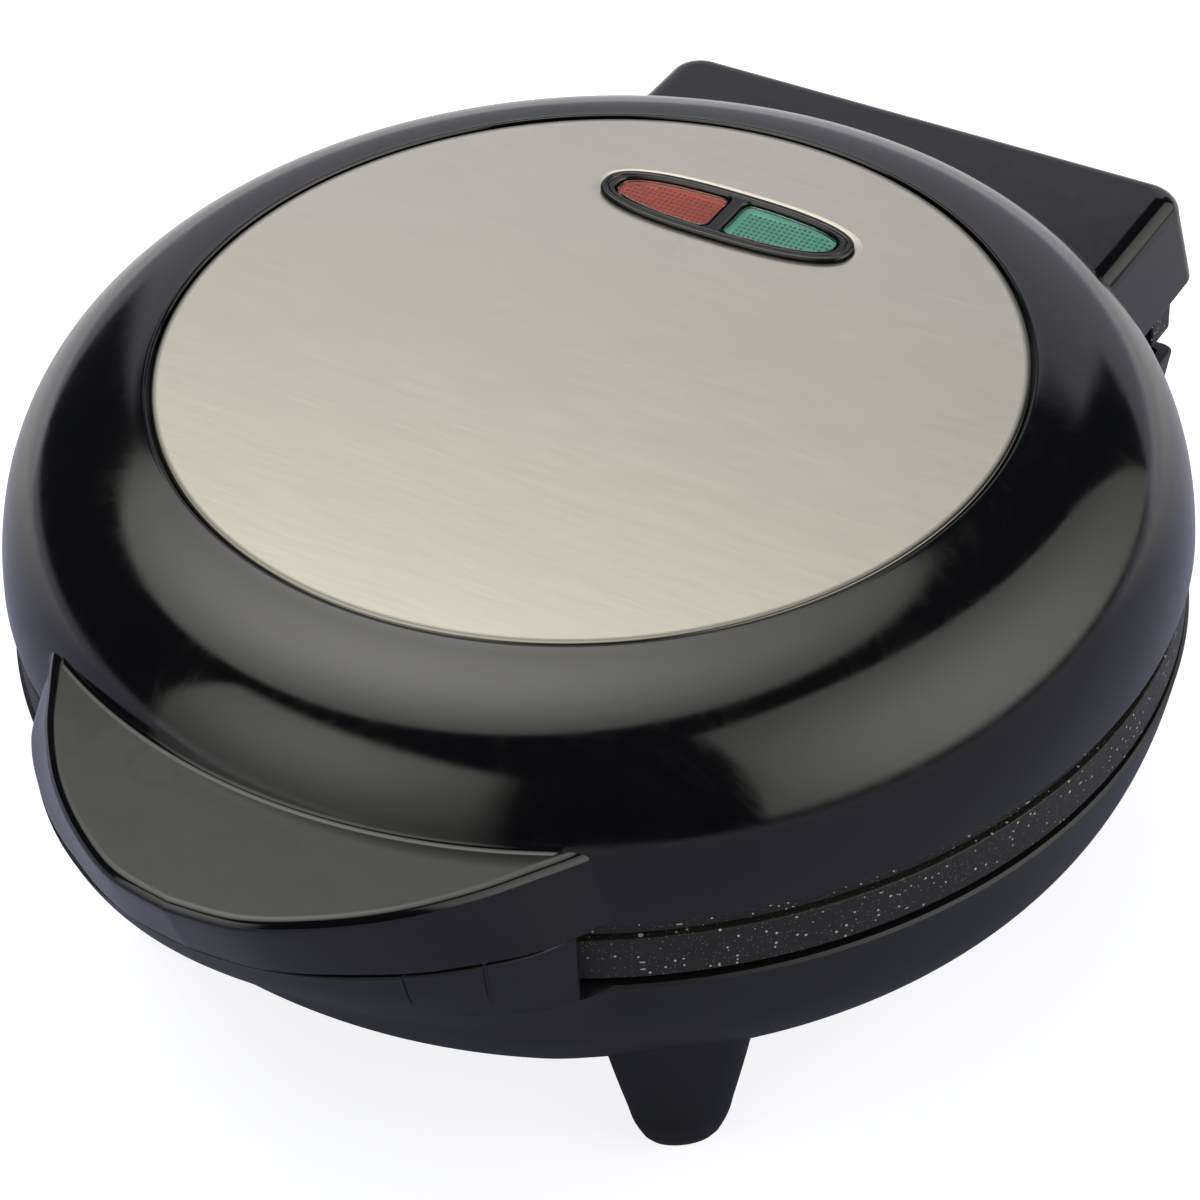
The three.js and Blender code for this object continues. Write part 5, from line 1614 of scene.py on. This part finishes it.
# %% Camera
AZIMUTH, ELEVATION, ROLL = (math.radians(v) for v in (32.70, 39.78, -3.03))
DISTANCE = 694.9
LOOK_AT = (-2.05, -1.32, DISC_TOP - 53.99)
back = Vector((
    math.sin(AZIMUTH) * math.cos(ELEVATION),
    -math.cos(AZIMUTH) * math.cos(ELEVATION),
    math.sin(ELEVATION),
))
right = Vector((math.cos(AZIMUTH), math.sin(AZIMUTH), 0))
up = back.cross(right)
right, up = (
    right * math.cos(ROLL) + up * math.sin(ROLL),
    up * math.cos(ROLL) - right * math.sin(ROLL),
)
lens = bpy.data.cameras.new("camera")
lens.sensor_width, lens.lens = 36, 115.2
lens.shift_x, lens.shift_y = 0.01003, -0.00059
lens.clip_start, lens.clip_end = 0.05, 20
camera = bpy.data.objects.new("camera", lens)
bpy.context.scene.collection.objects.link(camera)
target = Vector(to_frame([LOOK_AT])[0])
turn = Matrix((right, up, back)).transposed()
camera.matrix_world = Matrix.Translation(target + back * DISTANCE * MM) @ turn.to_4x4()
bpy.context.scene.camera = camera
print("camera at", [round(v, 4) for v in camera.location])

# %% [markdown]
# ## Studio light
#
# Gloss black plastic shows the room more than itself, so the light is built like a studio: a
# large round box overhead and behind to the left, a tall panel to the right, a lower panel at
# the front left, and a pale sweep behind. They are drawn in the world's own shader, where each
# is a mask over directions with a soft edge and a bright middle. The camera itself sees white.

# %% Directions and soft masks
def direction(azimuth, elevation):
    """Azimuth 0 is towards the grip and 90 to the right, in degrees."""
    a, e = math.radians(azimuth), math.radians(elevation)
    return (math.sin(a) * math.cos(e), -math.cos(a) * math.cos(e), math.sin(e))


world = bpy.data.worlds.new("studio")
bpy.context.scene.world = world
world.use_nodes = True
sky = world.node_tree
sky.nodes.clear()
ray = add(sky, "ShaderNodeTexCoord").outputs["Generated"]


def math_node(operation, a, b=None, clamp=False):
    links = {0: a} if b is None else {0: a, 1: b}
    node = add(sky, "ShaderNodeMath", links, operation=operation)
    node.use_clamp = clamp
    return node.outputs[0]


def dot(vector):
    return add(sky, "ShaderNodeVectorMath", {0: ray, 1: vector}, operation="DOT_PRODUCT").outputs["Value"]


def ramp(value, start, stop):
    """0 before start and 1 after stop, with a smooth rise; start may be above stop."""
    low, high, a, b = (start, stop, 0.0, 1.0) if start < stop else (stop, start, 1.0, 0.0)
    node = add(sky, "ShaderNodeMapRange", {
        "Value": value, "From Min": low, "From Max": high, "To Min": a, "To Max": b,
    }, interpolation_type="SMOOTHSTEP")
    return node.outputs["Result"]


def glow(middle, width):
    """1 at a direction, falling off like a bell with the angle from it, in degrees."""
    away = math_node("SUBTRACT", 1.0, dot(direction(*middle)))
    return math_node("EXPONENT", math_node("MULTIPLY", away, -2 / math.radians(width) ** 2))


def product(*values):
    total = values[0]
    for value in values[1:]:
        total = math_node("MULTIPLY", total, value)
    return total


def panel(facing, left, right_end, low, high, soft_side, soft_low, soft_high):
    """An upright panel: left, right, low and high are tangents seen from the middle."""
    a = math.radians(facing)
    ahead = dot((math.sin(a), -math.cos(a), 0))
    sideways = math_node("DIVIDE", dot((math.cos(a), math.sin(a), 0)), ahead)
    height = math_node("DIVIDE", dot((0, 0, 1)), ahead)
    return product(
        math_node("GREATER_THAN", ahead, 0.02),
        ramp(sideways, left - soft_side, left + soft_side),
        ramp(sideways, right_end + soft_side * 4, right_end - soft_side * 4),
        ramp(height, low - soft_low, low + soft_low),
        ramp(height, high + soft_high, high - soft_high),
    )


print("sky helpers ready")

# %% [markdown]
# Each light is a mask times a strength and a tint. The panels were placed where the photograph
# shows their reflections on the black ring, and the sweep behind leans outwards at its foot.

# %% The lights themselves
WARM = (1.0, 0.985, 0.91)
COOL = (0.97, 0.955, 1.07)
overhead = product(
    ramp(dot(direction(-110, 69.5)), math.cos(math.radians(35)), math.cos(math.radians(32))),
    glow((-108, 68), 31),
)
right_panel = product(panel(85, -0.51, 3.2, 0.04, 2.25, 0.025, 0.06, 0.12), glow((100, 22), 45))
front_panel = product(panel(-20, -0.62, 0.62, -0.3, 1.02, 0.03, 0.05, 0.12), glow((-25, 34), 36))
a = math.radians(-152)
ahead = dot((math.sin(a), -math.cos(a), 0))
sideways = math_node("DIVIDE", dot((math.cos(a), math.sin(a), 0)), ahead)
height = math_node("DIVIDE", dot((0, 0, 1)), ahead)


def slanted(start, slope, edge):
    """An upright edge that leans outwards below a height."""
    under = math_node("MAXIMUM", math_node("SUBTRACT", start, height), 0.0)
    return math_node("ADD", math_node("MULTIPLY", under, slope), edge)


left_edge = slanted(0.35, -2.0, -0.6)
right_edge = slanted(0.2, 2.0, 0.5)
low_part = math_node("ADD", math_node("MULTIPLY", ramp(height, 0.05, 0.45), 0.2), 0.8)
sweep = product(
    math_node("GREATER_THAN", ahead, 0.02),
    low_part,
    ramp(math_node("SUBTRACT", sideways, left_edge), -0.06, 0.06),
    ramp(math_node("SUBTRACT", right_edge, sideways), -0.06, 0.06),
    ramp(height, 0.78, 0.66),
)
below = ramp(dot((0, 0, 1)), 0.02, -0.05)


def lit(mask, strength, colour):
    scaled = math_node("MULTIPLY", mask, strength)
    return add(sky, "ShaderNodeVectorMath", {0: scaled, 1: colour}, operation="MULTIPLY").outputs[0]


parts = [
    lit(overhead, 4.1, WARM),
    lit(right_panel, 2.75, WARM),
    lit(front_panel, 2.2, WARM),
    lit(sweep, 0.64, COOL),
    lit(below, 0.5, COOL),
]
total = (0.03, 0.032, 0.037)
for part in parts:
    total = add(sky, "ShaderNodeVectorMath", {0: total, 1: part}, operation="ADD").outputs[0]
studio = add(sky, "ShaderNodeBackground", {"Color": total, "Strength": 1.0})
white = add(sky, "ShaderNodeBackground", {"Color": (1, 1, 1, 1), "Strength": 1.0})
path = add(sky, "ShaderNodeLightPath")
choose = add(sky, "ShaderNodeMixShader", {
    0: path.outputs["Is Camera Ray"], 1: studio.outputs[0], 2: white.outputs[0],
})
out = add(sky, "ShaderNodeOutputWorld", {"Surface": choose.outputs[0]})
print("sky has", len(sky.nodes), "nodes")

# %% [markdown]
# ## The floor
#
# The object stands on a plain sheet. Its own colour is a cool mid grey, paler behind the object,
# because that is what the black plastic mirrors. To the camera alone it glows, so that it reads
# white there, and the soft shadow stays on it.

# %% Floor
FLOOR_HALF = 900
floor = new_piece("floor", [
    (-FLOOR_HALF, -FLOOR_HALF, 0), (FLOOR_HALF, -FLOOR_HALF, 0),
    (FLOOR_HALF, FLOOR_HALF, 0), (-FLOOR_HALF, FLOOR_HALF, 0),
], [(0, 1, 2, 3)])
pale, tree, shader, place = finish(
    "pale_floor", Base_Color=(0.29, 0.3, 0.42), Roughness=0.9, Emission_Color=(1, 1, 1),
)
rear = add(tree, "ShaderNodeVectorMath", {0: place, 1: (-0.54, 0.84, 0)}, operation="DOT_PRODUCT")
rise = spread(tree, rear.outputs["Value"], 0.0, 1.0, 0.06, 0.26)
sheet_colour = blend_colour(tree, rise, (0.29, 0.3, 0.42), (0.7, 0.69, 0.74))
tree.links.new(sheet_colour, shader.inputs["Base Color"])
path = add(tree, "ShaderNodeLightPath")
glow_up = add(tree, "ShaderNodeMath", {0: path.outputs["Is Camera Ray"], 1: 0.82}, operation="MULTIPLY")
tree.links.new(glow_up.outputs[0], shader.inputs["Emission Strength"])
floor.data.materials.append(pale)
print("floor laid")

# %% [markdown]
# ## The view
#
# Colours are shown as they are, with no film look.

# %% View settings and the end
scene = bpy.context.scene
scene.view_settings.view_transform = "Standard"
